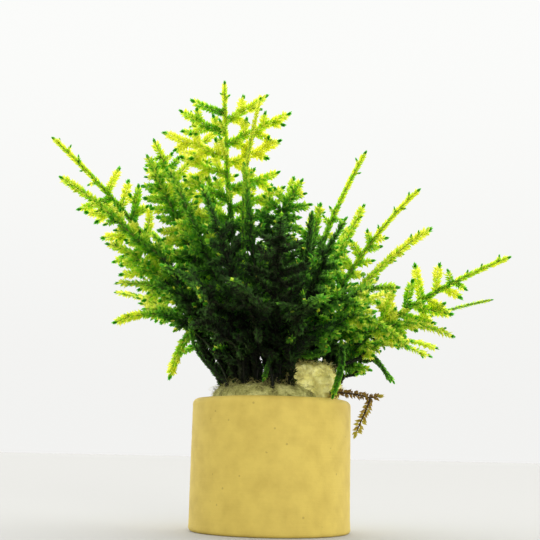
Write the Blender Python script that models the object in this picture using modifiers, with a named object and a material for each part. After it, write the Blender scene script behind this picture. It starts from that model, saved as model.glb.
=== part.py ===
"""Clump of feathery moss growing on rock wool in a small clay pot.

The pot and the two wads of rock wool are turned and rounded solids. Each moss
shoot is one flat, pinnate solid: a stem strip with pairs of side twigs, which
reach as far as the leaves of the living shoot do. The shoots fan out from the
rock wool and never touch, because they are moved apart before they are built.

Origin: centre of the pot's base. +X right, +Y away from the front, +Z up.
"""
import math

import bmesh
import bpy
from mathutils import Vector, kdtree

MM = 0.001

# Pot
POT_RADIUS = 17.3 * MM
POT_HEIGHT = 28.0 * MM
POT_WALL = 2.6 * MM
POT_FLOOR = 3.0 * MM
RIM_ROUND = 1.3 * MM
FOOT_ROUND = 0.8 * MM
TURN_STEPS = 32

# Rock wool
GAP = 0.3 * MM
WOOL_RADIUS = POT_RADIUS - POT_WALL - GAP
MOUND_RADIUS = WOOL_RADIUS - 1.3 * MM
MOUND_FOOT = POT_HEIGHT - 1.0 * MM
MOUND_RISE = 4.9 * MM
MOUND_FULLNESS = 2.8
TUFT_CENTRE = Vector((9.2, -5.6, 31.2)) * MM
TUFT_HALF = Vector((5.9, 4.2, 4.4)) * MM
TUFT_PEAK_SHIFT = -2.4 * MM

# Moss shoots
ROOT_SPREAD = 11.4 * MM
ROOT_GAP = 0.55 * MM
ROOT_HALF_WIDTH = 0.55 * MM
LEAFY_HALF_WIDTH = 0.95 * MM
TIP_HALF_WIDTH = 0.4 * MM
SHOOT_THICKNESS = 1.3 * MM
TWIG_HALF_WIDTH = 0.7 * MM
TWIG_TIP_HALF_WIDTH = 0.35 * MM
TWIG_ANGLE = math.radians(56.0)
SHORTEST_TWIG = 2.2 * MM
TWIG_SPACING = 6.0 * MM
TWIG_STEP = 0.7 * MM
NEIGHBOURHOOD = 18.0 * MM
# Shares of the way from root to tip
LEAFY_FROM = 0.25
TAPER_FROM = 0.9
FIRST_TWIG = 0.3
LAST_TWIG = 0.9
BASE_STATIONS = (0.0, 0.06, 0.12, 0.18, 0.24)
PLAIN_SPACING = 2.6 * MM

# Moving the shoots apart
PATH_POINTS = 33
CLEAR = 0.8 * MM
SETTLE_ROUNDS = 160
SMOOTHING_PASSES = 3
PUSH = 0.5
WOOL_PUSH = 0.7
TIP_HOLD = 6.0

FRONT = Vector((0.0, -1.0, 0.0))
UP = Vector((0.0, 0.0, 1.0))
TILTED = Vector((0.0, -0.7, 0.7))
BACK = Vector((0.0, 0.75, 0.65))

# name: (tip, middle of the stem, reach of the side twigs), all in mm, and the way the frond faces
SHOOTS = {
    # left side
    "left_long": ((-52.5, 4.0, 88.0), (-28.8, 3.0, 63.2), 8.5, FRONT),
    "left_fork": ((-47.7, -6.0, 75.6), (-26.5, -4.5, 58.0), 3.5, FRONT),
    "left_cluster": ((-36.8, -4.0, 61.2), (-21.0, -3.2, 51.5), 6.0, FRONT),
    "left_mid": ((-33.2, -10.0, 51.4), (-16.0, -8.0, 47.0), 4.0, TILTED),
    "left_short": ((-29.1, 3.0, 47.9), (-18.0, 3.0, 44.5), 3.0, TILTED),
    "left_level": ((-34.7, -2.0, 44.1), (-20.5, -1.0, 44.8), 2.0, FRONT),
    "left_hanging": ((-22.1, -4.0, 32.3), (-16.5, -3.5, 42.0), 0.0, FRONT),
    "left_arch": ((-18.0, -6.3, 44.8), (-15.4, -6.8, 37.6), 0.0, FRONT),
    # crown
    "crown_tall": ((-12.5, 0.0, 101.0), (-9.5, 0.0, 64.0), 15.0, FRONT),
    "crown_slender": ((-4.0, -5.0, 95.5), (-7.2, -4.5, 64.0), 0.0, FRONT),
    "crown_front": ((-7.2, -9.5, 78.3), (-4.2, -8.0, 55.0), 3.0, FRONT),
    "crown_left": ((-28.6, 3.0, 87.4), (-17.0, 2.0, 62.0), 6.0, FRONT),
    "crown_left_low": ((-28.8, -6.0, 80.7), (-17.5, -5.5, 58.0), 5.0, FRONT),
    "crown_left_front": ((-23.0, -13.5, 75.8), (-13.5, -10.0, 55.0), 5.5, TILTED),
    "crown_left_back": ((-20.6, 7.0, 96.0), (-12.5, 5.5, 67.0), 7.0, FRONT),
    "crown_right": ((5.6, -4.0, 76.5), (-1.0, -3.5, 58.0), 5.0, FRONT),
    "crown_right_high": ((3.9, 4.0, 79.2), (0.5, 3.0, 57.0), 3.0, FRONT),
    "crown_right_back": ((9.0, 10.0, 72.0), (4.5, 7.5, 52.0), 6.0, FRONT),
    # right side
    "right_upright": ((20.5, 2.0, 85.3), (9.2, 1.0, 59.0), 2.5, FRONT),
    "right_dark": ((7.8, -10.5, 67.5), (6.0, -8.0, 50.0), 1.5, FRONT),
    "right_slender": ((9.9, -3.0, 71.2), (6.5, -2.5, 53.0), 2.0, FRONT),
    "right_inner": ((20.4, 5.0, 73.3), (12.0, 4.0, 54.0), 2.5, FRONT),
    "right_high": ((32.3, -1.0, 75.8), (17.0, -1.0, 56.5), 4.0, FRONT),
    "right_plume": ((33.5, -8.0, 65.0), (18.0, -6.0, 51.0), 2.0, FRONT),
    "right_long": ((51.9, -3.0, 60.2), (28.0, -2.5, 47.3), 8.5, FRONT),
    "right_thin": ((50.0, 6.0, 52.1), (27.0, 4.5, 44.0), 3.0, TILTED),
    "right_low": ((38.2, -7.5, 41.9), (22.0, -6.0, 43.2), 4.5, TILTED),
    "right_level": ((34.7, 1.0, 38.4), (20.0, 1.0, 40.5), 4.0, UP),
    "right_hanging": ((25.1, -5.5, 32.2), (18.3, -4.5, 38.7), 0.0, FRONT),
    "right_hanging_back": ((27.2, 4.5, 32.8), (18.8, 4.0, 38.6), 0.0, FRONT),
    "right_rim": ((12.3, -16.6, 28.2), (13.6, -9.8, 38.9), 0.0, FRONT),
    # front, pointing at the viewer
    "front_left_high": ((-15.0, -23.0, 69.0), (-8.5, -13.5, 52.0), 6.0, TILTED),
    "front_high": ((1.0, -30.0, 62.0), (0.5, -17.0, 51.0), 7.0, TILTED),
    "front_right_high": ((14.0, -23.0, 63.0), (8.0, -13.5, 50.5), 6.0, TILTED),
    "front_left": ((-22.0, -27.0, 52.0), (-12.0, -15.5, 46.0), 7.0, TILTED),
    "front_mid_left": ((-8.0, -35.0, 48.0), (-4.5, -20.0, 44.5), 7.0, TILTED),
    "front_mid_right": ((9.0, -35.0, 45.0), (5.0, -20.0, 43.0), 7.0, TILTED),
    "front_right": ((24.0, -25.0, 49.0), (12.5, -14.5, 46.5), 6.0, TILTED),
    "front_right_low": ((27.0, -17.0, 38.5), (12.5, -14.0, 44.5), 4.0, TILTED),
    "front_left_low": ((-16.5, -20.5, 41.0), (-9.6, -13.0, 41.5), 5.0, TILTED),
    "front_rim": ((-1.8, -16.2, 31.2), (0.0, -12.0, 36.5), 0.0, FRONT),
    # back
    "back_left_high": ((-31.0, 22.0, 70.0), (-17.5, 12.5, 54.0), 7.5, BACK),
    "back_crown_left": ((-17.0, 20.0, 82.0), (-9.5, 11.5, 58.0), 7.5, BACK),
    "back_crown": ((2.0, 24.0, 75.0), (1.0, 14.0, 55.0), 8.0, BACK),
    "back_crown_right": ((18.0, 17.0, 71.0), (10.0, 10.0, 53.0), 6.5, BACK),
    "back_left": ((-38.0, 18.0, 54.0), (-21.5, 10.5, 47.0), 7.0, UP),
    "back_mid_left": ((-14.0, 38.0, 57.0), (-8.5, 22.0, 48.0), 8.0, UP),
    "back_mid_right": ((11.0, 40.0, 52.0), (6.5, 23.0, 46.0), 8.0, UP),
    "back_right": ((31.0, 27.0, 58.0), (17.5, 15.5, 49.0), 7.5, UP),
    "back_right_low": ((39.0, 17.0, 42.0), (22.5, 10.5, 42.0), 6.0, UP),
    "back_left_low": ((-24.0, 29.0, 40.0), (-14.0, 17.5, 41.0), 6.0, UP),
    "back_low": ((5.0, 33.0, 36.0), (3.5, 20.5, 39.5), 5.5, UP),
}

# Shoots that start elsewhere on the rock wool than their lean says: (x, y) in mm
OWN_ROOTS = {
    "left_level": (-9.4, -0.8),
    "left_arch": (-9.4, -4.2),
    "right_rim": (4.2, 0.6),
    "right_low": (10.5, 0.2),
    "front_right_low": (-0.8, -9.8),
    "front_right": (0.6, -7.4),
}

# Dried sprig that lies on the front right of the rim and hangs over it
SPRIG_PATH = (
    (11.9, -10.7, 29.0),
    (14.4, -10.9, 29.1),
    (17.4, -11.1, 28.8),
    (20.4, -11.3, 28.1),
    (19.8, -11.5, 26.3),
    (18.8, -11.6, 24.1),
    (17.9, -11.7, 22.1),
    (17.3, -11.8, 20.3),
)
SPRIG_HALF_WIDTH = 0.7 * MM
SPRIG_THICKNESS = 1.1 * MM


def clear_scene():
    """Empties the scene the script starts in."""
    for obj in list(bpy.data.objects):
        bpy.data.objects.remove(obj)


def make_material(name, colour, roughness):
    """A plain finish for one kind of piece."""
    material = bpy.data.materials.new(name)
    material.use_nodes = True
    shader = material.node_tree.nodes["Principled BSDF"]
    shader.inputs["Base Color"].default_value = (*colour, 1.0)
    shader.inputs["Roughness"].default_value = roughness
    shader.inputs["Metallic"].default_value = 0.0
    return material


def make_object(name, mesh, material, collection):
    """Adds a mesh to the scene as one named piece."""
    mesh.materials.append(material)
    obj = bpy.data.objects.new(name, mesh)
    collection.objects.link(obj)
    return obj


def arc(centre_x, centre_z, radius, start, end, steps):
    """Profile points on an arc, with its angles in degrees from +X towards +Z."""
    angles = [math.radians(start + (end - start) * i / steps) for i in range(steps + 1)]
    return [(centre_x + radius * math.cos(a), centre_z + radius * math.sin(a)) for a in angles]


def turned(name, profile, material, collection):
    """Turns a profile of (radius, height) points, outer side first and top to bottom, about Z."""
    mesh = bpy.data.meshes.new(name)
    points = [(x, 0.0, z) for x, z in profile]
    edges = [(i, i + 1) for i in range(len(points) - 1)]
    mesh.from_pydata(points, edges, [])
    obj = make_object(name, mesh, material, collection)
    screw = obj.modifiers.new("Turn", "SCREW")
    screw.axis = "Z"
    screw.angle = 2.0 * math.pi
    screw.steps = TURN_STEPS
    screw.render_steps = TURN_STEPS
    screw.use_merge_vertices = True
    screw.merge_threshold = 0.00001
    return obj


def mound_top(radius, lift=0.0):
    """Height of the rock wool's top at a distance from the pot's axis."""
    share = min(1.0, radius / (MOUND_RADIUS + lift))
    return MOUND_FOOT + (MOUND_RISE + lift) * (1.0 - share**MOUND_FULLNESS) ** (1.0 / MOUND_FULLNESS)


def mound_profile(lift, steps):
    """The mound's top from its axis to its foot, as (radius, height) points."""
    points = []
    for i in range(steps + 1):
        angle = math.radians(90.0) * i / steps
        radius = (MOUND_RADIUS + lift) * math.sin(angle)
        points.append((radius, mound_top(radius, lift)))
    return points


def make_pot(material, collection):
    """Straight-sided clay pot with a round rim, a soft foot and a flat base."""
    inner = POT_RADIUS - POT_WALL
    top = arc(POT_RADIUS - RIM_ROUND, POT_HEIGHT - RIM_ROUND, RIM_ROUND, 90.0, 0.0, 4)
    foot = arc(POT_RADIUS - FOOT_ROUND, FOOT_ROUND, FOOT_ROUND, 0.0, -90.0, 2)
    profile = [(0.0, POT_FLOOR), (inner, POT_FLOOR), (inner, POT_HEIGHT - 0.3 * MM)]
    profile += [(inner + 0.3 * MM, POT_HEIGHT), *top, *foot, (0.0, 0.0)]
    return turned("pot", profile, material, collection)


def make_wool_plug(material, collection):
    """Rock wool that fills the pot and rises over its rim as a low mound."""
    foot = POT_FLOOR + GAP
    profile = [*mound_profile(0.0, 5), (WOOL_RADIUS, MOUND_FOOT - 0.3 * MM), (WOOL_RADIUS, foot), (0.0, foot)]
    return turned("rockwool_plug", profile, material, collection)


def make_wool_tuft(material, collection, cutters):
    """Torn wad of rock wool that stands on the mound at the front right."""
    mesh = bpy.data.meshes.new("rockwool_tuft")
    form = bmesh.new()
    bmesh.ops.create_icosphere(form, subdivisions=2, radius=1.0)
    for vertex in form.verts:
        x, y, z = vertex.co
        lean = TUFT_PEAK_SHIFT * max(0.0, z)
        lump = 0.93 + 0.07 * math.sin(5.0 * x + 2.0 * y) * math.cos(4.0 * z - y)
        vertex.co = TUFT_CENTRE + Vector(
            (x * TUFT_HALF.x * lump + lean, y * TUFT_HALF.y * lump, z * TUFT_HALF.z * lump)
        )
    form.to_mesh(mesh)
    form.free()
    tuft = make_object("rockwool_tuft", mesh, material, collection)
    seat_edge = 24.0 * MM
    seat_foot = 15.0 * MM
    seat = [*mound_profile(GAP, 8)[:-1], (WOOL_RADIUS, POT_HEIGHT + GAP)]
    seat += [(seat_edge, POT_HEIGHT + GAP), (seat_edge, seat_foot), (0.0, seat_foot)]
    cutter = turned("tuft_seat_cutter", seat, material, cutters)
    cutter.hide_render = True
    cutter.display_type = "WIRE"
    cut = tuft.modifiers.new("Seat", "BOOLEAN")
    cut.operation = "DIFFERENCE"
    cut.object = cutter
    return tuft


def root_of(name, middle):
    """Where a shoot leaves the rock wool: the more it leans, the further out it stands."""
    if name in OWN_ROOTS:
        x, y = (value * MM for value in OWN_ROOTS[name])
        return Vector((x, y, mound_top(math.hypot(x, y)) + ROOT_GAP))
    across = math.hypot(middle.x, middle.y)
    lean = math.atan2(across, middle.z - MOUND_FOOT - MOUND_RISE)
    radius = ROOT_SPREAD * min(1.0, lean / math.radians(72.0))
    return Vector((middle.x / across * radius, middle.y / across * radius, mound_top(radius) + ROOT_GAP))


def arched_path(root, middle, tip):
    """Points on the parabola that starts at root, ends at tip and passes middle half way."""
    control = 2.0 * middle - 0.5 * (root + tip)
    path = []
    for i in range(PATH_POINTS):
        t = i / (PATH_POINTS - 1)
        path.append((1 - t) ** 2 * root + 2 * t * (1 - t) * control + t * t * tip)
    return path


def half_width_at(share):
    """Half the stem strip's width, by the share of the way from root to tip."""
    if share < LEAFY_FROM:
        return ROOT_HALF_WIDTH + (LEAFY_HALF_WIDTH - ROOT_HALF_WIDTH) * share / LEAFY_FROM
    if share > TAPER_FROM:
        taper = (share - TAPER_FROM) / (1.0 - TAPER_FROM)
        return LEAFY_HALF_WIDTH + (TIP_HALF_WIDTH - LEAFY_HALF_WIDTH) * taper
    return LEAFY_HALF_WIDTH


def room_at(share):
    """Radius of the space that a shoot's stem takes."""
    return math.hypot(half_width_at(share), SHOOT_THICKNESS / 2)


def push_from_wool(point, room, is_root):
    """The least move that takes a point clear of the rock wool and the pot's rim."""
    radius = math.hypot(point.x, point.y)
    floor = mound_top(radius) + ROOT_GAP
    if not is_root:
        floor += room
        if WOOL_RADIUS < radius < POT_RADIUS + room + GAP:
            floor = max(floor, POT_HEIGHT + GAP + room)
    move = Vector((0.0, 0.0, 0.0))
    if is_root or (point.z < floor and radius < POT_RADIUS + room):
        move.z = floor - point.z
    away = point - TUFT_CENTRE
    away.x -= 0.5 * TUFT_PEAK_SHIFT * max(0.0, away.z / TUFT_HALF.z)
    grown = Vector([half + room + 2 * GAP for half in TUFT_HALF])
    depth = math.sqrt(sum((away[i] / grown[i]) ** 2 for i in range(3)))
    if depth < 1.0:
        outward = Vector([away[i] / grown[i] ** 2 for i in range(3)])
        if is_root:
            outward.z = 0.0
        move += outward.normalized() * (1.0 - depth) * min(grown) * WOOL_PUSH
    return move


def settle(paths):
    """Moves crowded stems apart, a little at a time, with each tip held where it is."""
    shares = [i / (PATH_POINTS - 1) for i in range(PATH_POINTS)]
    rooms = [room_at(share) for share in shares]
    widest = 2 * max(rooms) + CLEAR
    names = list(paths)
    for _ in range(SETTLE_ROUNDS):
        tree = kdtree.KDTree(len(names) * PATH_POINTS)
        for n, name in enumerate(names):
            for k, point in enumerate(paths[name]):
                tree.insert(point, n * PATH_POINTS + k)
        tree.balance()
        for n, name in enumerate(names):
            moves = [Vector() for _ in shares]
            for k, point in enumerate(paths[name]):
                for other, index, distance in tree.find_range(point, widest):
                    need = rooms[k] + rooms[index % PATH_POINTS] + CLEAR
                    if index // PATH_POINTS == n or distance >= need or distance < 1e-9:
                        continue
                    moves[k] += (point - other) * (PUSH * (need - distance) / distance)
                moves[k] += push_from_wool(point, rooms[k], k == 0)
            for _ in range(SMOOTHING_PASSES):
                moves = [
                    0.25 * moves[max(0, k - 1)] + 0.5 * moves[k] + 0.25 * moves[min(len(moves) - 1, k + 1)]
                    for k in range(len(moves))
                ]
            for k, share in enumerate(shares):
                paths[name][k] = paths[name][k] + moves[k] * min(1.0, TIP_HOLD * (1.0 - share))
            root = paths[name][0]
            root.z = mound_top(math.hypot(root.x, root.y)) + ROOT_GAP
    return paths


def along(path, share):
    """Point and direction of a path at a share of its length in steps."""
    place = share * (len(path) - 1)
    k = min(int(place), len(path) - 2)
    here = path[k].lerp(path[k + 1], place - k)
    before = path[max(0, k - 1)]
    after = path[min(len(path) - 1, k + 2)]
    return here, (after - before).normalized()


def side_of(direction, facing):
    """Unit vector in the frond's plane, square to its stem."""
    return direction.cross(facing).normalized()


def reach_share(share):
    """How much of its reach a side twig has: least at the tip, and less again near the root."""
    from_tip = 1.0 - share
    by_tip = min(1.0, (from_tip + 0.04) / 0.46)
    by_root = 0.45 + 0.55 * min(1.0, max(0.0, (share - 0.1) / 0.2))
    return by_tip * by_root


def length_of(path):
    """Length of a path of points."""
    return sum((b - a).length for a, b in zip(path, path[1:]))


def twig_shares(path, reach):
    """Shares of the way from root to tip at which pairs of side twigs leave the stem."""
    if reach <= 0.0:
        return []
    span = LAST_TWIG - FIRST_TWIG
    count = max(2, round(length_of(path) * span / TWIG_SPACING))
    return [FIRST_TWIG + span * i / (count - 1) for i in range(count)]


def twig_line(path, share, sign, facing):
    """Start of one side twig, its direction, and the direction across it in the frond's plane."""
    here, direction = along(path, share)
    side = side_of(direction, facing) * sign
    way = direction * math.cos(TWIG_ANGLE) + side * math.sin(TWIG_ANGLE)
    across = direction * math.sin(TWIG_ANGLE) - side * math.cos(TWIG_ANGLE)
    return here + side * half_width_at(share), way, across


def is_clear(point, room, near):
    """Whether a point keeps its distance from the shoots nearby and from the rock wool."""
    for spot, other_room, _ in near:
        if (point - spot).length < room + other_room + CLEAR:
            return False
    return push_from_wool(point, room, False).length == 0.0


def grow_twigs(paths, facings, reaches):
    """The side twigs of every shoot, each as long as its neighbours leave room for."""
    taken = []
    for name, path in paths.items():
        for k, point in enumerate(path):
            taken.append((point, room_at(k / (PATH_POINTS - 1)), name))
    room = math.hypot(TWIG_HALF_WIDTH, SHOOT_THICKNESS / 2)
    twigs = {}
    for name, path in paths.items():
        near = [
            spot
            for spot in taken
            if spot[2] != name and min((spot[0] - point).length for point in path[::4]) < NEIGHBOURHOOD
        ]
        twigs[name] = []
        for share in twig_shares(path, reaches[name]):
            for sign in (-1.0, 1.0):
                start, way, _ = twig_line(path, share, sign, facings[name])
                wanted = reaches[name] * MM * reach_share(share)
                length = 0.0
                while length + TWIG_STEP <= wanted:
                    if not is_clear(start + way * (length + TWIG_STEP), room, near):
                        break
                    length += TWIG_STEP
                if length >= SHORTEST_TWIG:
                    twigs[name].append((share, sign, length))
                    steps = int(length / MM) + 1
                    for i in range(steps + 1):
                        taken.append((start + way * (length * i / steps), room, name))
    return twigs


def strip_stations(path, twigs):
    """Shares of the way along the stem where the strip has a pair of corners."""
    if not twigs:
        count = round(length_of(path) / PLAIN_SPACING)
        return [i / count for i in range(count + 1)]
    half = TWIG_HALF_WIDTH / length_of(path)
    stations = list(BASE_STATIONS)
    for share in sorted({share for share, _, _ in twigs}):
        stations += [share - half, share + half]
    return [*stations, 1.0]


def make_shoot(name, path, facing, twigs, material, collection):
    """One shoot as a stem strip with side twigs, given its thickness by Solidify."""
    form = bmesh.new()
    stations = strip_stations(path, twigs)
    corners = []
    for share in stations:
        here, direction = along(path, share)
        side = side_of(direction, facing) * half_width_at(share)
        corners.append({-1.0: form.verts.new(here - side), 1.0: form.verts.new(here + side)})
    for low, high in zip(corners, corners[1:]):
        form.faces.new((low[-1.0], low[1.0], high[1.0], high[-1.0]))
    half = TWIG_HALF_WIDTH / length_of(path)
    for share, sign, length in twigs:
        k = stations.index(share - half)
        start, way, across = twig_line(path, share, sign, facing)
        end = start + way * length
        tip_half = across * TWIG_TIP_HALF_WIDTH
        low, high = corners[k][sign], corners[k + 1][sign]
        tips = (form.verts.new(end - tip_half), form.verts.new(end + tip_half))
        face = (low, tips[0], tips[1], high)
        form.faces.new(face if sign > 0.0 else face[::-1])
    mesh = bpy.data.meshes.new(name)
    form.to_mesh(mesh)
    form.free()
    obj = make_object(name, mesh, material, collection)
    shell = obj.modifiers.new("Thickness", "SOLIDIFY")
    shell.thickness = SHOOT_THICKNESS
    shell.offset = 0.0
    return obj


def make_sprig(material, collection):
    """Dried sprig that lies over the rim, with a bend and a hanging end."""
    path = [Vector(point) * MM for point in SPRIG_PATH]
    form = bmesh.new()
    rows = []
    for k, point in enumerate(path):
        before, after = path[max(0, k - 1)], path[min(len(path) - 1, k + 1)]
        side = side_of((after - before).normalized(), FRONT) * SPRIG_HALF_WIDTH
        rows.append((form.verts.new(point - side), form.verts.new(point + side)))
    for low, high in zip(rows, rows[1:]):
        form.faces.new((low[0], low[1], high[1], high[0]))
    mesh = bpy.data.meshes.new("dry_sprig")
    form.to_mesh(mesh)
    form.free()
    obj = make_object("dry_sprig", mesh, material, collection)
    shell = obj.modifiers.new("Thickness", "SOLIDIFY")
    shell.thickness = SPRIG_THICKNESS
    shell.offset = 0.0
    return obj


def main():
    """Builds every piece of the clump."""
    clear_scene()
    clump = bpy.data.collections.new("moss_clump")
    cutters = bpy.data.collections.new("cutters")
    bpy.context.scene.collection.children.link(clump)
    bpy.context.scene.collection.children.link(cutters)
    clay = make_material("clay", (0.72, 0.55, 0.22), 0.6)
    wool = make_material("rock_wool", (0.42, 0.40, 0.24), 0.95)
    green = make_material("moss_green", (0.10, 0.26, 0.03), 0.6)
    dry = make_material("moss_dry", (0.25, 0.15, 0.04), 0.8)

    make_pot(clay, clump)
    make_wool_plug(wool, clump)
    make_wool_tuft(wool, clump, cutters)
    make_sprig(dry, clump)

    paths, facings, reaches = {}, {}, {}
    for name, (tip, middle, reach, facing) in SHOOTS.items():
        middle = Vector(middle) * MM
        paths[name] = arched_path(root_of(name, middle), middle, Vector(tip) * MM)
        facings[name] = facing
        reaches[name] = reach
    settle(paths)
    twigs = grow_twigs(paths, facings, reaches)
    for name, path in paths.items():
        make_shoot("shoot_" + name, path, facings[name], twigs[name], green, clump)


main()
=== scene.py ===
"""Feathery moss clump in a small clay pot: every finished surface, built over the fixed frame.

The pot is a turned clay wall, the rock wool is a lumpy body under a coat of loose
fibres, and each moss shoot is a stem with side twigs whose thousands of leaves are
laid by one Geometry Nodes tree. Each piece rides the body "root", and most take the
place of a node of the frame.

Origin: centre of the pot's base. +X right, +Y away from the front, +Z up. Metres.
"""
from __future__ import annotations

import logging
import math
import random
from dataclasses import dataclass, field
from enum import Enum
from typing import Iterable

import bmesh
import bpy
import numpy as np
from mathutils import Euler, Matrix, Quaternion, Vector, kdtree, noise

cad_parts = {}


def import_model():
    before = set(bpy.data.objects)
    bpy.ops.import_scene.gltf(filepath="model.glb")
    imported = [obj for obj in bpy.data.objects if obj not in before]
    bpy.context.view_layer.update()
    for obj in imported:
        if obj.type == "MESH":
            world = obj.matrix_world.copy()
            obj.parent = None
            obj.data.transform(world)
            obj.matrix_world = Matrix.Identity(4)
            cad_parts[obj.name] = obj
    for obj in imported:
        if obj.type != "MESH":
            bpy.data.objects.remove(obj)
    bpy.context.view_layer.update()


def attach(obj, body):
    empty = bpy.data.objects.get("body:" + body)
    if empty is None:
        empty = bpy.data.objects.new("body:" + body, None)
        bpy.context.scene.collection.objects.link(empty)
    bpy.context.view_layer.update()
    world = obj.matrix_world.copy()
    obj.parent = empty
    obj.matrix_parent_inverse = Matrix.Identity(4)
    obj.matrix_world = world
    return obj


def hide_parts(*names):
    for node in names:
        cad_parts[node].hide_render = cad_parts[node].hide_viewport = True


LOG = logging.getLogger("moss_clump")
MM = 0.001
BODY = "root"
UV_MAP = "OFBake"
GOLDEN_ANGLE = math.pi * (3.0 - math.sqrt(5.0))
Y_AXIS = (0.0, 1.0, 0.0)
Z_AXIS = (0.0, 0.0, 1.0)

Colour = tuple[float, float, float]
Triple = tuple[float, float, float]
Pair = tuple[float, float]
Stops = tuple[tuple[float, Colour], ...]
Face = tuple[int, ...]
Socket = bpy.types.NodeSocket
Material = bpy.types.Material
Piece = bpy.types.Object


def mm(values: Iterable[float]) -> Vector:
    """A point or a size given in millimetres, as a vector in metres."""
    return Vector(values) * MM


def smooth_step(value: float, low: float, high: float) -> float:
    """0 below low, 1 above high and a soft rise between them."""
    share = min(1.0, max(0.0, (value - low) / (high - low)))
    return share * share * (3.0 - 2.0 * share)


def mixed(low: float, high: float, share: float) -> float:
    """The value at a share of the way from low to high."""
    return low + (high - low) * share


def linked(name: str, data: bpy.types.ID) -> Piece:
    """A new object that holds the data, linked to the scene."""
    piece = bpy.data.objects.new(name, data)
    bpy.context.scene.collection.objects.link(piece)
    return piece


def store(mesh: bpy.types.Mesh, name: str, values: Iterable[float]) -> None:
    """Stores one number for each point of a mesh."""
    numbers = np.array(list(values), np.float32)
    mesh.attributes.new(name, "FLOAT", "POINT").data.foreach_set("value", numbers)


class Graph:
    """Short ways to add nodes to a node tree and link them."""

    def __init__(self, tree: bpy.types.NodeTree) -> None:
        """Empties the tree and keeps it, for nodes to be added."""
        self.tree = tree
        tree.nodes.clear()

    def add(self, kind: str, inputs: dict | None = None, **settings: object) -> bpy.types.Node:
        """Adds one node.

        Args:
            kind: The node's type name.
            inputs: What each input takes, by the input's name or number: a value, or a socket to link.
            settings: Properties to set on the node before its inputs are filled.

        Returns:
            The new node.
        """
        node = self.tree.nodes.new(kind)
        for name, value in settings.items():
            setattr(node, name, value)
        for name, value in (inputs or {}).items():
            self.feed(node.inputs[name], value)
        return node

    def feed(self, socket: Socket, value: object) -> None:
        """Links a socket to the input, or sets the input's own value."""
        if isinstance(value, Socket):
            self.tree.links.new(value, socket)
        else:
            socket.default_value = value

    def math(self, operation: str, *values: object) -> Socket:
        """One Math node's result."""
        return self.add("ShaderNodeMath", dict(enumerate(values)), operation=operation).outputs[0]

    def vector_math(self, operation: str, *values: object) -> Socket:
        """One Vector Math node's vector."""
        return self.add("ShaderNodeVectorMath", dict(enumerate(values)), operation=operation).outputs[0]

    def product(self, first: object, *others: object) -> Socket:
        """All the values multiplied in turn."""
        result = first
        for value in others:
            result = self.math("MULTIPLY", result, value)
        return result

    def turned(self, rotation: Socket, *turns: tuple[Triple, object]) -> Socket:
        """A rotation after further turns about its own axes, each an axis and an angle."""
        for axis, angle in turns:
            by = self.add("FunctionNodeAxisAngleToRotation", {"Axis": axis, "Angle": angle}).outputs[0]
            inputs = {"Rotation": rotation, "Rotate By": by}
            node = self.add("FunctionNodeRotateRotation", inputs, rotation_space="LOCAL")
            rotation = node.outputs[0]
        return rotation

    def ranged(self, value: object, source: Pair, target: Pair) -> Socket:
        """A value carried from one range to another with a soft start and end."""
        names = ("Value", "From Min", "From Max", "To Min", "To Max")
        inputs = dict(zip(names, (value, *source, *target)))
        return self.add("ShaderNodeMapRange", inputs, interpolation_type="SMOOTHSTEP").outputs[0]

    def noise(self, place: Socket, scale: float, detail: float) -> Socket:
        """Soft noise over a surface, from 0 to 1."""
        inputs = {"Vector": place, "Scale": scale, "Detail": detail}
        return self.add("ShaderNodeTexNoise", inputs).outputs["Fac"]

    def attribute(self, name: str, data_type: str = "FLOAT") -> Socket:
        """A named attribute of the geometry."""
        return self.add("GeometryNodeInputNamedAttribute", {"Name": name}, data_type=data_type).outputs[0]

    def random(self, low: float, high: float, seed: object) -> Socket:
        """A random number for each element."""
        inputs = {"Min_001": low, "Max_001": high, "Seed": seed}
        node = self.tree.nodes.new("FunctionNodeRandomValue")
        node.data_type = "FLOAT"
        for socket in node.inputs:
            if socket.identifier in inputs:
                self.feed(socket, inputs[socket.identifier])
        return node.outputs[1]

    def stored(
        self, geometry: object, name: str, value: object, data_type: str = "FLOAT", domain: str = "POINT"
    ) -> Socket:
        """The geometry with a value stored on it under a name."""
        inputs = {"Geometry": geometry, "Name": name, "Value": value}
        node = self.add("GeometryNodeStoreNamedAttribute", inputs, data_type=data_type, domain=domain)
        return node.outputs[0]


# ---------------------------------------------------------------------------
# Finishes
# ---------------------------------------------------------------------------


def new_material(name: str) -> tuple[Material, Graph, bpy.types.Node]:
    """An empty node material with its output.

    Args:
        name: The material's name.

    Returns:
        The material, its graph and its output node.
    """
    material = bpy.data.materials.new(name)
    material.use_nodes = True
    graph = Graph(material.node_tree)
    return material, graph, graph.add("ShaderNodeOutputMaterial")


def ramp(graph: Graph, value: Socket, stops: Stops) -> Socket:
    """A colour ramp's colour.

    Args:
        graph: The graph to add to.
        value: What is looked up, from 0 to 1.
        stops: The place and the colour of each stop, in rising order.

    Returns:
        The colour socket.
    """
    node = graph.add("ShaderNodeValToRGB", {"Fac": value})
    elements = node.color_ramp.elements
    while len(elements) < len(stops):
        elements.new(1.0)
    for element, (place, colour) in zip(elements, stops):
        element.position = place
        element.color = (*colour, 1.0)
    return node.outputs["Color"]


def lit_from_behind(
    graph: Graph, output: bpy.types.Node, skin: Socket, glow: Socket, share: float
) -> None:
    """Mixes a skin with light that passes through it, and gives both to the output.

    Args:
        graph: The material's graph.
        output: Its output node.
        skin: The skin's shader.
        glow: The colour that light takes on its way through.
        share: How much of the light passes, from 0 to 1.
    """
    through = graph.add("ShaderNodeBsdfTranslucent", {"Color": glow})
    both = graph.add("ShaderNodeMixShader", {0: share, 1: skin, 2: through.outputs[0]})
    graph.feed(output.inputs["Surface"], both.outputs[0])


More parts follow.
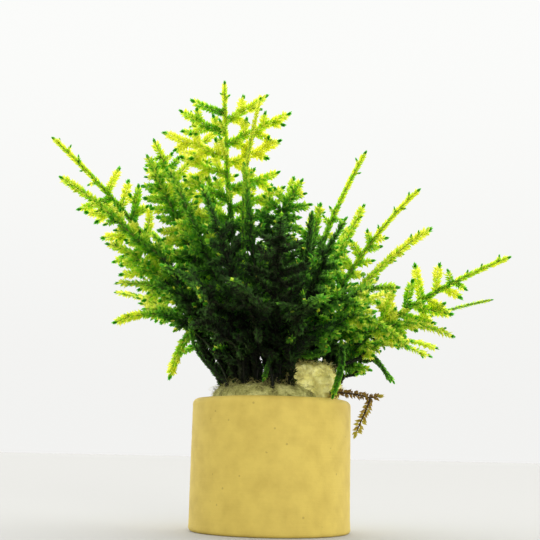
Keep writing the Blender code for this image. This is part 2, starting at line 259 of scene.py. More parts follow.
def tone_of(graph: Graph) -> Socket:
    """The tone that a leaf, stem or fibre carries in its map, from old or in painted shade to young."""
    uv = graph.add("ShaderNodeUVMap", uv_map=UV_MAP).outputs["UV"]
    return graph.add("ShaderNodeSeparateXYZ", {"Vector": uv}).outputs["X"]


@dataclass(frozen=True)
class LeafFinish:
    """Thin leaf that lets light through: colours run from old leaves and painted shade to young ones."""

    name: str
    surface: Stops
    glow: Stops
    clearness: float = 0.84
    roughness: float = 0.5
    gloss: float = 0.35

    def material(self) -> Material:
        """A glossy-skinned leaf mixed with light that passes through it."""
        material, graph, output = new_material(self.name)
        tone = tone_of(graph)
        inputs = {
            "Base Color": ramp(graph, tone, self.surface),
            "Roughness": self.roughness,
            "Specular IOR Level": self.gloss,
        }
        skin = graph.add("ShaderNodeBsdfPrincipled", inputs).outputs[0]
        lit_from_behind(graph, output, skin, ramp(graph, tone, self.glow), self.clearness)
        return material


@dataclass(frozen=True)
class StemFinish:
    """Thin stem or fibre, with colours by its tone, that lets some light through."""

    name: str
    stops: Stops
    clearness: float = 0.5
    roughness: float = 0.55

    def material(self) -> Material:
        """A skin mixed with light that passes through it."""
        material, graph, output = new_material(self.name)
        colour = ramp(graph, tone_of(graph), self.stops)
        inputs = {"Base Color": colour, "Roughness": self.roughness}
        skin = graph.add("ShaderNodeBsdfPrincipled", inputs).outputs[0]
        lit_from_behind(graph, output, skin, colour, self.clearness)
        return material


@dataclass(frozen=True)
class ClayFinish:
    """Matt ochre clay with soft mottling, fine specks and faint turning lines."""

    name: str = "clay"
    light: Colour = (0.67, 0.51, 0.106)
    dark: Colour = (0.57, 0.42, 0.083)
    speck: Colour = (0.25, 0.16, 0.04)
    mottling: Pair = (0.3, 0.62)
    mottles_per_metre: float = 260.0
    grains_per_metre: float = 2600.0
    specks_per_metre: float = 520.0
    speck_patches_per_metre: float = 240.0
    speck_radius: float = 0.13
    speck_rarity: float = 0.6
    speck_share: float = 0.4
    turning_lines: Triple = (40.0, 40.0, 1500.0)
    grain_height: float = 0.5
    bump_strength: float = 0.35
    bump_height: float = 0.12 * MM
    roughness: float = 0.72
    gloss: float = 0.3

    def colour(self, graph: Graph, place: Socket) -> Socket:
        """Mottled clay with a dark speck here and there."""
        mottle = graph.noise(place, self.mottles_per_metre, 6.0)
        body = ramp(graph, mottle, tuple(zip(self.mottling, (self.dark, self.light))))
        inputs = {"Vector": place, "Scale": self.specks_per_metre}
        cells = graph.add("ShaderNodeTexVoronoi", inputs).outputs["Distance"]
        near = graph.math("LESS_THAN", cells, self.speck_radius)
        chosen = graph.noise(place, self.speck_patches_per_metre, 2.0)
        rare = graph.math("GREATER_THAN", chosen, self.speck_rarity)
        share = graph.math("MULTIPLY", graph.math("MULTIPLY", near, rare), self.speck_share)
        mix = graph.add("ShaderNodeMix", {0: share}, data_type="RGBA")
        graph.feed(mix.inputs[6], body)
        graph.feed(mix.inputs[7], (*self.speck, 1.0))
        return mix.outputs[2]

    def material(self) -> Material:
        """Clay that reads its place on the piece."""
        material, graph, output = new_material(self.name)
        place = graph.add("ShaderNodeTexCoord").outputs["Object"]
        rings = graph.add("ShaderNodeMapping", {"Vector": place, "Scale": self.turning_lines}).outputs[0]
        grain = graph.math("MULTIPLY", graph.noise(place, self.grains_per_metre, 3.0), self.grain_height)
        height = graph.math("ADD", grain, graph.noise(rings, 1.0, 4.0))
        inputs = {"Height": height, "Strength": self.bump_strength, "Distance": self.bump_height}
        bump = graph.add("ShaderNodeBump", inputs).outputs[0]
        inputs = {
            "Base Color": self.colour(graph, place),
            "Normal": bump,
            "Roughness": self.roughness,
            "Specular IOR Level": self.gloss,
        }
        skin = graph.add("ShaderNodeBsdfPrincipled", inputs)
        graph.feed(output.inputs["Surface"], skin.outputs[0])
        return material


@dataclass(frozen=True)
class WoolFinish:
    """Damp mineral wool, with colours that change in patches."""

    name: str
    stops: Stops
    patches_per_metre: float = 420.0
    fibres_per_patch: float = 5.0
    patch_share: float = 0.7
    fibre_share: float = 0.3
    bump_strength: float = 0.5
    bump_height: float = 0.2 * MM
    roughness: float = 0.9
    gloss: float = 0.2

    def material(self) -> Material:
        """Rough fibres that read their place on the piece."""
        material, graph, output = new_material(self.name)
        place = graph.add("ShaderNodeTexCoord").outputs["Object"]
        patch = graph.noise(place, self.patches_per_metre, 6.0)
        fine = graph.noise(place, self.fibres_per_patch * self.patches_per_metre, 2.0)
        broad = graph.math("MULTIPLY", patch, self.patch_share)
        blend = graph.math("ADD", broad, graph.math("MULTIPLY", fine, self.fibre_share))
        inputs = {"Height": fine, "Strength": self.bump_strength, "Distance": self.bump_height}
        bump = graph.add("ShaderNodeBump", inputs).outputs[0]
        inputs = {
            "Base Color": ramp(graph, blend, self.stops),
            "Normal": bump,
            "Roughness": self.roughness,
            "Specular IOR Level": self.gloss,
        }
        skin = graph.add("ShaderNodeBsdfPrincipled", inputs)
        graph.feed(output.inputs["Surface"], skin.outputs[0])
        return material


# Low tones are old leaves and painted shade inside the clump; high tones are young leaves.
GREEN_LEAF = LeafFinish(
    name="moss_leaf",
    surface=(
        (0.0, (0.024, 0.027, 0.018)),
        (0.25, (0.027, 0.061, 0.018)),
        (0.5, (0.036, 0.125, 0.018)),
        (0.62, (0.050, 0.135, 0.015)),
        (0.76, (0.095, 0.145, 0.018)),
        (0.86, (0.110, 0.150, 0.020)),
        (0.92, (0.020, 0.105, 0.012)),
    ),
    glow=(
        (0.0, (0.050, 0.058, 0.030)),
        (0.25, (0.075, 0.20, 0.035)),
        (0.5, (0.24, 0.60, 0.05)),
        (0.62, (0.52, 0.82, 0.06)),
        (0.76, (0.92, 0.98, 0.11)),
        (0.86, (1.0, 1.0, 0.15)),
        (0.92, (0.16, 0.55, 0.04)),
    ),
)
DRY_LEAF = LeafFinish(
    name="dry_leaf",
    surface=((0.0, (0.05, 0.025, 0.006)), (0.5, (0.20, 0.12, 0.015)), (0.9, (0.34, 0.30, 0.03))),
    glow=((0.0, (0.25, 0.13, 0.02)), (0.5, (0.55, 0.36, 0.04)), (0.9, (0.75, 0.68, 0.08))),
    clearness=0.3,
)
GREEN_STEM = StemFinish(
    name="moss_stem",
    stops=(
        (0.0, (0.016, 0.018, 0.007)),
        (0.4, (0.04, 0.065, 0.010)),
        (0.75, (0.40, 0.50, 0.04)),
        (1.0, (0.70, 0.80, 0.08)),
    ),
)
DRY_STEM = StemFinish(name="dry_stem", stops=((0.0, (0.05, 0.028, 0.01)), (1.0, (0.12, 0.07, 0.02))))
CLAY = ClayFinish()
MOUND_WOOL = WoolFinish(
    name="rock_wool",
    stops=((0.3, (0.08, 0.07, 0.02)), (0.48, (0.34, 0.33, 0.10)), (0.7, (0.80, 0.76, 0.30))),
)
TUFT_WOOL = WoolFinish(
    name="rock_wool_pale",
    stops=((0.3, (0.60, 0.54, 0.15)), (0.5, (0.90, 0.84, 0.30)), (0.7, (0.97, 0.94, 0.46))),
)
MOUND_FIBRE = StemFinish(
    name="wool_fibre",
    stops=(
        (0.0, (0.10, 0.08, 0.03)),
        (0.4, (0.42, 0.40, 0.13)),
        (0.75, (0.78, 0.74, 0.30)),
        (1.0, (0.94, 0.92, 0.62)),
    ),
    roughness=0.75,
)
TUFT_FIBRE = StemFinish(
    name="wool_fibre_pale",
    stops=(
        (0.0, (0.25, 0.19, 0.06)),
        (0.15, (0.75, 0.68, 0.22)),
        (0.6, (0.95, 0.90, 0.38)),
        (1.0, (0.98, 0.96, 0.62)),
    ),
    roughness=0.7,
)


# ---------------------------------------------------------------------------
# Rock wool's place, and the stems that grow from it
# ---------------------------------------------------------------------------


@dataclass(frozen=True)
class WoolShape:
    """Outer form of the rock wool and the pot, which the stems keep clear of."""

    pot_radius: float = 17.3 * MM
    pot_height: float = 28.0 * MM
    plug_radius: float = 14.4 * MM
    mound_radius: float = 13.1 * MM
    mound_foot: float = 27.0 * MM
    mound_rise: float = 4.9 * MM
    mound_fullness: float = 2.8
    tuft_centre: Triple = (9.2, -5.6, 31.2)
    tuft_half: Triple = (5.9, 4.2, 4.4)
    tuft_peak_shift: float = -2.4 * MM

    def top(self, radius: float) -> float:
        """Height of the mound's top at a distance from the pot's axis."""
        share = min(1.0, radius / self.mound_radius)
        rise = (1.0 - share**self.mound_fullness) ** (1.0 / self.mound_fullness)
        return self.mound_foot + self.mound_rise * rise


class Facing(Enum):
    """Way that the flat side of a shoot faces."""

    FRONT = (0.0, -1.0, 0.0)
    UP = (0.0, 0.0, 1.0)
    TILTED = (0.0, -0.7, 0.7)
    BACK = (0.0, 0.75, 0.65)


class Habit(Enum):
    """How a shoot is clothed, from root to tip."""

    FEATHERED = "small leaves held close to the stem, and a plume of leafy side twigs"
    PLUMED = "leaves spread wide all the way, and a plume of side twigs"
    BARE_FOOT = "a dark bare stem with a leafy end"
    SCALED = "a thin stem with small leaves held close"


@dataclass(frozen=True)
class ShootPlan:
    """Where one shoot goes, in millimetres, and how it grows."""

    tip: Triple
    middle: Triple
    reach: float
    facing: Facing
    habit: Habit = Habit.FEATHERED
    pitch: float = 1.8
    clear_tip: float = 0.14
    taper: float = 0.26
    root: Pair | None = None
    tone: float = 0.76
    foot_fade: float = 0.62
    # The least share of its tone that a shoot keeps in the painted shade of the clump's hearts.
    kept_unshaded: float = 0.0
    twig_angle: float = 66.0


FRONT, UP, TILTED, BACK = Facing
SHOOTS: dict[str, ShootPlan] = {
    # left side
    "left_long": ShootPlan(
        (-52.5, 4.0, 88.0), (-28.8, 3.0, 63.2), 8.5, FRONT,
        clear_tip=0.22, taper=0.12, pitch=2.6, tone=0.74,
    ),
    "left_fork": ShootPlan((-47.7, -6.0, 75.6), (-26.5, -4.5, 58.0), 3.5, FRONT, Habit.PLUMED, tone=0.74),
    "left_cluster": ShootPlan(
        (-36.8, -4.0, 61.2), (-21.0, -3.2, 51.5), 6.0, FRONT, Habit.PLUMED, clear_tip=0.08, tone=0.7
    ),
    "left_mid": ShootPlan(
        (-33.2, -10.0, 51.4), (-16.0, -8.0, 47.0), 4.0, TILTED, Habit.PLUMED, clear_tip=0.06, tone=0.66
    ),
    "left_short": ShootPlan((-29.1, 3.0, 47.9), (-18.0, 3.0, 44.5), 3.0, TILTED, Habit.PLUMED),
    "left_level": ShootPlan(
        (-34.7, -2.0, 44.1), (-20.5, -1.0, 44.8), 2.0, FRONT, Habit.PLUMED, root=(-9.4, -0.8)
    ),
    # left_hanging's high tone, and its tone kept clear of the hearts, are painted backlight.
    "left_hanging": ShootPlan(
        (-22.1, -4.0, 32.3), (-16.5, -3.5, 42.0), 0.0, FRONT, Habit.BARE_FOOT, tone=0.84, kept_unshaded=0.8
    ),
    "left_arch": ShootPlan(
        (-18.0, -6.3, 44.8), (-15.4, -6.8, 37.6), 0.0, FRONT, Habit.SCALED,
        tone=0.62, kept_unshaded=0.8, root=(-9.4, -4.2),
    ),
    # crown
    "crown_tall": ShootPlan(
        (-12.5, 0.0, 101.0), (-9.5, 0.0, 64.0), 15.0, FRONT,
        clear_tip=0.06, taper=0.14, pitch=2.4, twig_angle=74.0,
    ),
    "crown_slender": ShootPlan(
        (-4.0, -5.0, 95.5), (-7.2, -4.5, 64.0), 0.0, FRONT, Habit.SCALED, tone=0.82, kept_unshaded=0.8
    ),
    "crown_front": ShootPlan(
        (-7.2, -9.5, 78.3), (-4.2, -8.0, 55.0), 3.0, FRONT, tone=0.68, kept_unshaded=0.45
    ),
    "crown_left": ShootPlan(
        (-28.6, 3.0, 87.4), (-17.0, 2.0, 62.0), 6.0, FRONT, Habit.PLUMED,
        clear_tip=0.05, taper=0.18, tone=0.7, pitch=1.5,
    ),
    "crown_left_low": ShootPlan(
        (-28.8, -6.0, 80.7), (-17.5, -5.5, 58.0), 5.0, FRONT, Habit.PLUMED,
        clear_tip=0.05, taper=0.18, pitch=1.5, tone=0.66, kept_unshaded=0.6,
    ),
    "crown_left_front": ShootPlan(
        (-23.0, -13.5, 75.8), (-13.5, -10.0, 55.0), 5.5, TILTED, Habit.PLUMED, tone=0.6, kept_unshaded=0.85
    ),
    "crown_left_back": ShootPlan(
        (-20.6, 7.0, 96.0), (-12.5, 5.5, 67.0), 7.0, FRONT,
        clear_tip=0.05, taper=0.16, pitch=3.0, twig_angle=72.0,
    ),
    "crown_right": ShootPlan(
        (5.6, -4.0, 76.5), (-1.0, -3.5, 58.0), 5.0, FRONT, Habit.PLUMED,
        clear_tip=0.05, taper=0.2, tone=0.66, pitch=1.5, kept_unshaded=0.3,
    ),
    "crown_right_high": ShootPlan(
        (3.9, 4.0, 79.2), (0.5, 3.0, 57.0), 3.0, FRONT, Habit.PLUMED, clear_tip=0.05, pitch=1.9, tone=0.7
    ),
    "crown_right_back": ShootPlan(
        (9.0, 10.0, 72.0), (4.5, 7.5, 52.0), 6.0, FRONT, Habit.PLUMED,
        clear_tip=0.05, taper=0.2, pitch=1.7, tone=0.66,
    ),
    # right side
    "right_upright": ShootPlan((20.5, 2.0, 85.3), (9.2, 1.0, 59.0), 2.5, FRONT, tone=0.74, foot_fade=0.5),
    "right_dark": ShootPlan((7.8, -10.5, 67.5), (6.0, -8.0, 50.0), 1.5, FRONT, tone=0.36, kept_unshaded=0.8),
    "right_slender": ShootPlan((9.9, -3.0, 71.2), (6.5, -2.5, 53.0), 2.0, FRONT, Habit.PLUMED),
    "right_inner": ShootPlan((20.4, 5.0, 73.3), (12.0, 4.0, 54.0), 2.5, FRONT, Habit.PLUMED),
    "right_high": ShootPlan(
        (32.3, -1.0, 75.8), (17.0, -1.0, 56.5), 4.0, FRONT, clear_tip=0.2, tone=0.8, foot_fade=0.4
    ),
    "right_plume": ShootPlan(
        (33.5, -8.0, 65.0), (18.0, -6.0, 51.0), 2.0, FRONT, Habit.PLUMED,
        clear_tip=0.3, tone=0.82, foot_fade=0.3,
    ),
    "right_long": ShootPlan(
        (51.9, -3.0, 60.2), (28.0, -2.5, 47.3), 8.5, FRONT, pitch=1.9, clear_tip=0.12, taper=0.4
    ),
    "right_thin": ShootPlan((50.0, 6.0, 52.1), (27.0, 4.5, 44.0), 3.0, TILTED, Habit.SCALED, tone=0.62),
    "right_low": ShootPlan(
        (38.2, -7.5, 41.9), (22.0, -6.0, 43.2), 4.5, TILTED, Habit.PLUMED, root=(10.5, 0.2)
    ),
    "right_level": ShootPlan((34.7, 1.0, 38.4), (20.0, 1.0, 40.5), 4.0, UP, Habit.PLUMED),
    "right_hanging": ShootPlan(
        (25.1, -5.5, 32.2), (18.3, -4.5, 38.7), 0.0, FRONT, Habit.SCALED, tone=0.4
    ),
    "right_hanging_back": ShootPlan(
        (27.2, 4.5, 32.8), (18.8, 4.0, 38.6), 0.0, FRONT, Habit.SCALED, tone=0.4
    ),
    "right_rim": ShootPlan(
        (12.3, -16.6, 28.2), (13.6, -9.8, 38.9), 0.0, FRONT, root=(4.2, 0.6), tone=0.62, kept_unshaded=0.6
    ),
    # front, pointing at the viewer: their low tones are painted shade, for shoots that stand dark against
    # the light behind the clump
    "front_left_high": ShootPlan(
        (-15.0, -23.0, 69.0), (-8.5, -13.5, 52.0), 6.0, TILTED, Habit.PLUMED, tone=0.44, kept_unshaded=0.45
    ),
    "front_high": ShootPlan((1.0, -30.0, 62.0), (0.5, -17.0, 51.0), 7.0, TILTED, Habit.PLUMED, tone=0.30),
    "front_right_high": ShootPlan(
        (14.0, -23.0, 63.0), (8.0, -13.5, 50.5), 6.0, TILTED, Habit.PLUMED, tone=0.44, kept_unshaded=0.6
    ),
    "front_left": ShootPlan(
        (-22.0, -27.0, 52.0), (-12.0, -15.5, 46.0), 7.0, TILTED, Habit.PLUMED, tone=0.42
    ),
    "front_mid_left": ShootPlan(
        (-8.0, -35.0, 48.0), (-4.5, -20.0, 44.5), 7.0, TILTED, Habit.PLUMED, tone=0.36
    ),
    "front_mid_right": ShootPlan(
        (9.0, -35.0, 45.0), (5.0, -20.0, 43.0), 7.0, TILTED, Habit.PLUMED, tone=0.42
    ),
    "front_right": ShootPlan(
        (24.0, -25.0, 49.0), (12.5, -14.5, 46.5), 6.0, TILTED, Habit.PLUMED,
        root=(0.6, -7.4), tone=0.6, kept_unshaded=0.6,
    ),
    "front_right_low": ShootPlan(
        (27.0, -17.0, 38.5), (12.5, -14.0, 44.5), 4.0, TILTED, Habit.PLUMED,
        root=(-0.8, -9.8), tone=0.68, kept_unshaded=0.6,
    ),
    "front_left_low": ShootPlan(
        (-16.5, -20.5, 41.0), (-9.6, -13.0, 41.5), 5.0, TILTED, Habit.PLUMED, tone=0.30
    ),
    "front_rim": ShootPlan(
        (-1.8, -16.2, 31.2), (0.0, -12.0, 36.5), 0.0, FRONT, Habit.SCALED, tone=0.5, kept_unshaded=0.7
    ),
    # back
    "back_left_high": ShootPlan(
        (-31.0, 22.0, 70.0), (-17.5, 12.5, 54.0), 7.5, BACK, Habit.PLUMED, tone=0.6
    ),
    "back_crown_left": ShootPlan(
        (-17.0, 20.0, 82.0), (-9.5, 11.5, 58.0), 7.5, BACK, Habit.PLUMED, pitch=2.0, tone=0.66
    ),
    "back_crown": ShootPlan(
        (2.0, 24.0, 75.0), (1.0, 14.0, 55.0), 8.0, BACK, Habit.PLUMED, pitch=1.8, tone=0.62
    ),
    "back_crown_right": ShootPlan(
        (18.0, 17.0, 71.0), (10.0, 10.0, 53.0), 6.5, BACK, Habit.PLUMED, tone=0.66
    ),
    "back_left": ShootPlan((-38.0, 18.0, 54.0), (-21.5, 10.5, 47.0), 7.0, UP, Habit.PLUMED),
    "back_mid_left": ShootPlan((-14.0, 38.0, 57.0), (-8.5, 22.0, 48.0), 8.0, UP, Habit.PLUMED, tone=0.6),
    "back_mid_right": ShootPlan((11.0, 40.0, 52.0), (6.5, 23.0, 46.0), 8.0, UP, Habit.PLUMED, tone=0.6),
    "back_right": ShootPlan((31.0, 27.0, 58.0), (17.5, 15.5, 49.0), 7.5, UP, Habit.PLUMED),
    "back_right_low": ShootPlan((39.0, 17.0, 42.0), (22.5, 10.5, 42.0), 6.0, UP, Habit.PLUMED),
    "back_left_low": ShootPlan(
        (-24.0, 29.0, 40.0), (-14.0, 17.5, 41.0), 6.0, UP, Habit.PLUMED, tone=0.62
    ),
    "back_low": ShootPlan((5.0, 33.0, 36.0), (3.5, 20.5, 39.5), 5.5, UP, Habit.PLUMED, tone=0.58),
}


@dataclass
class StemLayout:
    """Stems of all shoots, arched from the rock wool to their tips and moved apart."""

    wool: WoolShape
    root_spread: float = 11.4 * MM
    root_gap: float = 0.55 * MM
    steepest_lean: float = math.radians(72.0)
    half_widths: Triple = (0.55, 0.95, 0.4)
    leafy_from: float = 0.25
    taper_from: float = 0.9
    half_thickness: float = 0.65 * MM
    gap: float = 0.3 * MM
    clear: float = 0.8 * MM
    points: int = 33
    rounds: int = 160
    smoothing: int = 3
    push: float = 0.5
    wool_push: float = 0.7
    tip_hold: float = 6.0

    def root_of(self, plan: ShootPlan) -> Vector:
        """Where a shoot leaves the rock wool: the more it leans, the further out it stands."""
        if plan.root:
            x, y = (value * MM for value in plan.root)
            return Vector((x, y, self.wool.top(math.hypot(x, y)) + self.root_gap))
        middle = mm(plan.middle)
        across = math.hypot(middle.x, middle.y)
        lean = math.atan2(across, middle.z - self.wool.mound_foot - self.wool.mound_rise)
        radius = self.root_spread * min(1.0, lean / self.steepest_lean)
        height = self.wool.top(radius) + self.root_gap
        return Vector((middle.x / across * radius, middle.y / across * radius, height))

    def arched(self, plan: ShootPlan) -> list[Vector]:
        """Points on the parabola from the root to the tip that passes the middle half way."""
        root, tip = self.root_of(plan), mm(plan.tip)
        control = 2.0 * mm(plan.middle) - 0.5 * (root + tip)
        path = []
        for i in range(self.points):
            t = i / (self.points - 1)
            path.append((1 - t) ** 2 * root + 2 * t * (1 - t) * control + t * t * tip)
        return path

    def room_at(self, share: float) -> float:
        """Radius of the space a stem takes, by the share of the way from root to tip."""
        foot, leafy, tip = (width * MM for width in self.half_widths)
        half = leafy
        if share < self.leafy_from:
            half = mixed(foot, leafy, share / self.leafy_from)
        elif share > self.taper_from:
            half = mixed(leafy, tip, (share - self.taper_from) / (1.0 - self.taper_from))
        return math.hypot(half, self.half_thickness)

    def push_from_wool(self, point: Vector, room: float, is_root: bool) -> Vector:
        """The least move that takes a point clear of the rock wool and the pot's rim.

        Args:
            point: A point on a stem.
            room: The radius of the space around it.
            is_root: Whether it is the stem's first point.

        Returns:
            The move.
        """
        wool = self.wool
        radius = math.hypot(point.x, point.y)
        floor = wool.top(radius) + self.root_gap
        if not is_root:
            floor += room
            if wool.plug_radius < radius < wool.pot_radius + room + self.gap:
                floor = max(floor, wool.pot_height + self.gap + room)
        move = Vector((0.0, 0.0, 0.0))
        if is_root or (point.z < floor and radius < wool.pot_radius + room):
            move.z = floor - point.z
        half = mm(wool.tuft_half)
        away = point - mm(wool.tuft_centre)
        away.x -= 0.5 * wool.tuft_peak_shift * max(0.0, away.z / half.z)
        kept = Vector([value + room + 2 * self.gap for value in half])
        depth = math.sqrt(sum((away[i] / kept[i]) ** 2 for i in range(3)))
        if depth < 1.0:
            outward = Vector([away[i] / kept[i] ** 2 for i in range(3)])
            if is_root:
                outward.z = 0.0
            move += outward.normalized() * (1.0 - depth) * min(kept) * self.wool_push
        return move

    def crowding(
        self, points: list[Vector], owner: int, tree: kdtree.KDTree, rooms: list[float]
    ) -> list[Vector]:
        """How far each point of a stem is pushed by its neighbours and by the rock wool.

        Args:
            points: The stem's points.
            owner: The stem's number.
            tree: All stems' points, numbered stem by stem.
            rooms: The room each point takes, from root to tip.

        Returns:
            One move for each point.
        """
        widest = 2 * max(rooms) + self.clear
        moves = [Vector() for _ in points]
        for k, point in enumerate(points):
            for other, index, distance in tree.find_range(point, widest):
                need = rooms[k] + rooms[index % self.points] + self.clear
                if index // self.points == owner or distance >= need or distance < 1e-9:
                    continue
                moves[k] += (point - other) * (self.push * (need - distance) / distance)
            moves[k] += self.push_from_wool(point, rooms[k], k == 0)
        last = len(moves) - 1
        for _ in range(self.smoothing):
            moves = [
                0.25 * moves[max(0, k - 1)] + 0.5 * moves[k] + 0.25 * moves[min(last, k + 1)]
                for k in range(len(moves))
            ]
        return moves

    def settled(self, plans: dict[str, ShootPlan]) -> dict[str, list[Vector]]:
        """Every stem's points, after crowded stems have moved apart with their tips held.

        Args:
            plans: The plan of each shoot by name.

        Returns:
            The points of each stem from root to tip, by name.
        """
        shares = [i / (self.points - 1) for i in range(self.points)]
        rooms = [self.room_at(share) for share in shares]
        paths = [self.arched(plan) for plan in plans.values()]
        for _ in range(self.rounds):
            tree = kdtree.KDTree(len(paths) * self.points)
            for n, path in enumerate(paths):
                for k, point in enumerate(path):
                    tree.insert(point, n * self.points + k)
            tree.balance()
            for n, path in enumerate(paths):
                moves = self.crowding(path, n, tree, rooms)
                for k, share in enumerate(shares):
                    path[k] = path[k] + moves[k] * min(1.0, self.tip_hold * (1.0 - share))
                path[0].z = self.wool.top(math.hypot(path[0].x, path[0].y)) + self.root_gap
        return dict(zip(plans, paths))


# ---------------------------------------------------------------------------
# Moss
# ---------------------------------------------------------------------------


@dataclass(frozen=True)
class ShadedHeart:
    """A crowded part of the clump, in millimetres, where leaves are darkened: painted shade, and partly
    the darker colour of older leaves.
    """

    centre: Triple
    half: Triple
    dark_within: float = 0.55
    unshaded_beyond: float = 1.2

    def unshaded_share(self, point: Vector) -> float:
        """0 in the heart of the clump, where painted shade is deepest, 1 in the open."""
        shares = [(point[i] / MM - self.centre[i]) / self.half[i] for i in range(3)]
        depth = math.sqrt(sum(share**2 for share in shares))
        return smooth_step(depth, self.dark_within, self.unshaded_beyond)


# Share of the tone kept in the deepest painted shade of the hearts.
DEEPEST_SHADE = 0.22
# Hearts of painted shade inside the clump; the first reaches far to the front and back.
SHADED_HEARTS = (
    ShadedHeart((-4.0, -1.0, 46.0), (21.5, 36.0, 27.5)),
    ShadedHeart((2.0, -6.0, 37.0), (18.0, 26.0, 12.0)),
)


@dataclass
class Strand:
    """One stem or twig: the points along it, and what it carries at its foot and its end."""

    points: list[Vector]
    plane: Vector
    radius: Pair
    leaf: Pair
    tone: Pair
    leafy_from: float = 0.0
    spread: float = 1.0
    # The least share of its tone that a strand keeps in the painted shade of the clump's hearts.
    kept_unshaded: float = 0.0
    first_leaves: float = 0.04

    def tone_at(self, share: float, point: Vector) -> float:
        """Tone at a share of the way along, darkened by painted shade in the clump's hearts."""
        unshaded = min(heart.unshaded_share(point) for heart in SHADED_HEARTS)
        return mixed(*self.tone, share) * mixed(max(DEEPEST_SHADE, self.kept_unshaded), 1.0, unshaded)

    def leaf_at(self, share: float) -> float:
        """Leaf length at a share of the way along, none before the leafy part."""
        length = mixed(*self.leaf, share)
        if not self.leafy_from:
            return length
        low, high = self.leafy_from - self.first_leaves, self.leafy_from + self.first_leaves
        return length * smooth_step(share, low, high)


def strand_mesh(name: str, strands: list[Strand]) -> bpy.types.Mesh:
    """Lines for a set of strands, with what each carries as attributes of its points.

    Args:
        name: The mesh's name.
        strands: The stems and twigs.

    Returns:
        A mesh of edges only.
    """
    points, edges, rows = [], [], []
    for strand in strands:
        first = len(points)
        last = len(strand.points) - 1
        for k, point in enumerate(strand.points):
            share = k / last
            points.append(point)
            tone = strand.tone_at(share, point)
            rows.append((mixed(*strand.radius, share), strand.leaf_at(share), tone, strand.spread))
        edges += [(first + k, first + k + 1) for k in range(last)]
    mesh = bpy.data.meshes.new(name)
    mesh.from_pydata(points, edges, [])
    for column, key in enumerate(("thick", "leaf", "tone", "spread")):
        store(mesh, key, [row[column] for row in rows])
    planes = np.array([strand.plane[:] for strand in strands for _ in strand.points], np.float32)
    mesh.attributes.new("plane", "FLOAT_VECTOR", "POINT").data.foreach_set("vector", planes.ravel())
    return mesh


@dataclass
class LeafBlade:
    """One moss leaf: a pointed boat of four faces, a metre long, that the node tree scales down."""

    width: float = 0.56
    widest_at: float = 0.42
    keel: float = 0.12
    keel_ahead: float = 0.04
    recurve: float = 0.05

    def build(self) -> Piece:
        """The leaf as a hidden helper: along +Z, its upper side towards -X."""
        half = 0.5 * self.width
        points = (
            (0.0, 0.0, 0.0),
            (0.0, -half, self.widest_at),
            (0.0, half, self.widest_at),
            (self.keel, 0.0, self.widest_at + self.keel_ahead),
            (self.recurve, 0.0, 1.0),
        )
        faces = ((0, 3, 1), (0, 2, 3), (1, 3, 4), (3, 2, 4))
        mesh = bpy.data.meshes.new("leaf_blade")
        mesh.from_pydata(points, [], faces)
        store(mesh, "across", [point[1] for point in points])
        store(mesh, "along", [point[2] for point in points])
        return bpy.data.objects.new("leaf_blade", mesh)


class PieceTree:
    """Geometry Nodes tree that turns a plain mesh into a finished piece."""

    NAME = "piece"
    INPUTS: tuple[tuple[str, str, object], ...] = ()
    MAP_EDGE = 0.005

    def __init__(self) -> None:
        """Builds the tree."""
        self.tree = bpy.data.node_groups.new(self.NAME, "GeometryNodeTree")
        face = self.tree.interface
        face.new_socket("Geometry", in_out="INPUT", socket_type="NodeSocketGeometry")
        for name, kind, value in self.INPUTS:
            socket = face.new_socket(name, in_out="INPUT", socket_type=kind)
            if value is not None:
                socket.default_value = value
        face.new_socket("Geometry", in_out="OUTPUT", socket_type="NodeSocketGeometry")
        self.graph = Graph(self.tree)
        self.given = self.graph.add("NodeGroupInput").outputs
        self.graph.add("NodeGroupOutput", {"Geometry": self.grow(self.given["Geometry"])})

    def grow(self, geometry: Socket) -> Socket:
        """What the tree makes of the mesh it is given."""
        raise NotImplementedError

    def laid(
        self, points: Socket, shape: str, rotation: Socket, scale: Socket, chosen: object = True
    ) -> Socket:
        """Copies of a small object laid on points.

        Args:
            points: The points.
            shape: The name of the tree's object input.
            rotation: How each copy stands.
            scale: The size of each copy.
            chosen: Which points get one.

        Returns:
            The copies as one mesh.
        """
        inputs = {"Object": self.given[shape], "As Instance": True}
        source = self.graph.add("GeometryNodeObjectInfo", inputs)
        inputs = {
            "Points": points,
            "Selection": chosen,
            "Instance": source.outputs["Geometry"],
            "Rotation": rotation,
            "Scale": scale,
        }
        placed = self.graph.add("GeometryNodeInstanceOnPoints", inputs).outputs[0]
        return self.graph.add("GeometryNodeRealizeInstances", {"Geometry": placed}).outputs[0]

    def varied_tone(self, name: str, amount: float) -> Socket:
        """The tone, raised a little by another attribute."""
        extra = self.graph.math("MULTIPLY", self.graph.attribute(name), amount)
        return self.graph.math("ADD", self.graph.attribute("tone"), extra)

    def finished(self, geometry: Socket, u: Socket, v: Socket, finish: str, smooth: bool) -> Socket:
        """The geometry with its UV map, its shading and its material.

        Args:
            geometry: The mesh so far.
            u: First map coordinate: the tone.
            v: Second map coordinate: the place along the leaf or round the stem.
            finish: The name of the tree's material input.
            smooth: Whether it is shaded smooth.

        Returns:
            The finished geometry.
        """
        graph = self.graph
        limits = {"Min": self.MAP_EDGE, "Max": 1.0 - self.MAP_EDGE}
        x, y = (graph.add("ShaderNodeClamp", {"Value": value, **limits}).outputs[0] for value in (u, v))
        place = graph.add("ShaderNodeCombineXYZ", {"X": x, "Y": y}).outputs[0]
        mapped = graph.stored(geometry, UV_MAP, place, "FLOAT2", "CORNER")
        inputs = {"Geometry": mapped, "Shade Smooth": smooth}
        shaded = graph.add("GeometryNodeSetShadeSmooth", inputs).outputs[0]
        inputs = {"Geometry": shaded, "Material": self.given[finish]}
        return graph.add("GeometryNodeSetMaterial", inputs).outputs[0]

    def socket(self, name: str) -> str:
        """Identifier of one of the tree's inputs."""
        return next(
            item.identifier
            for item in self.tree.interface.items_tree
            if item.item_type == "SOCKET" and item.in_out == "INPUT" and item.name == name
        )


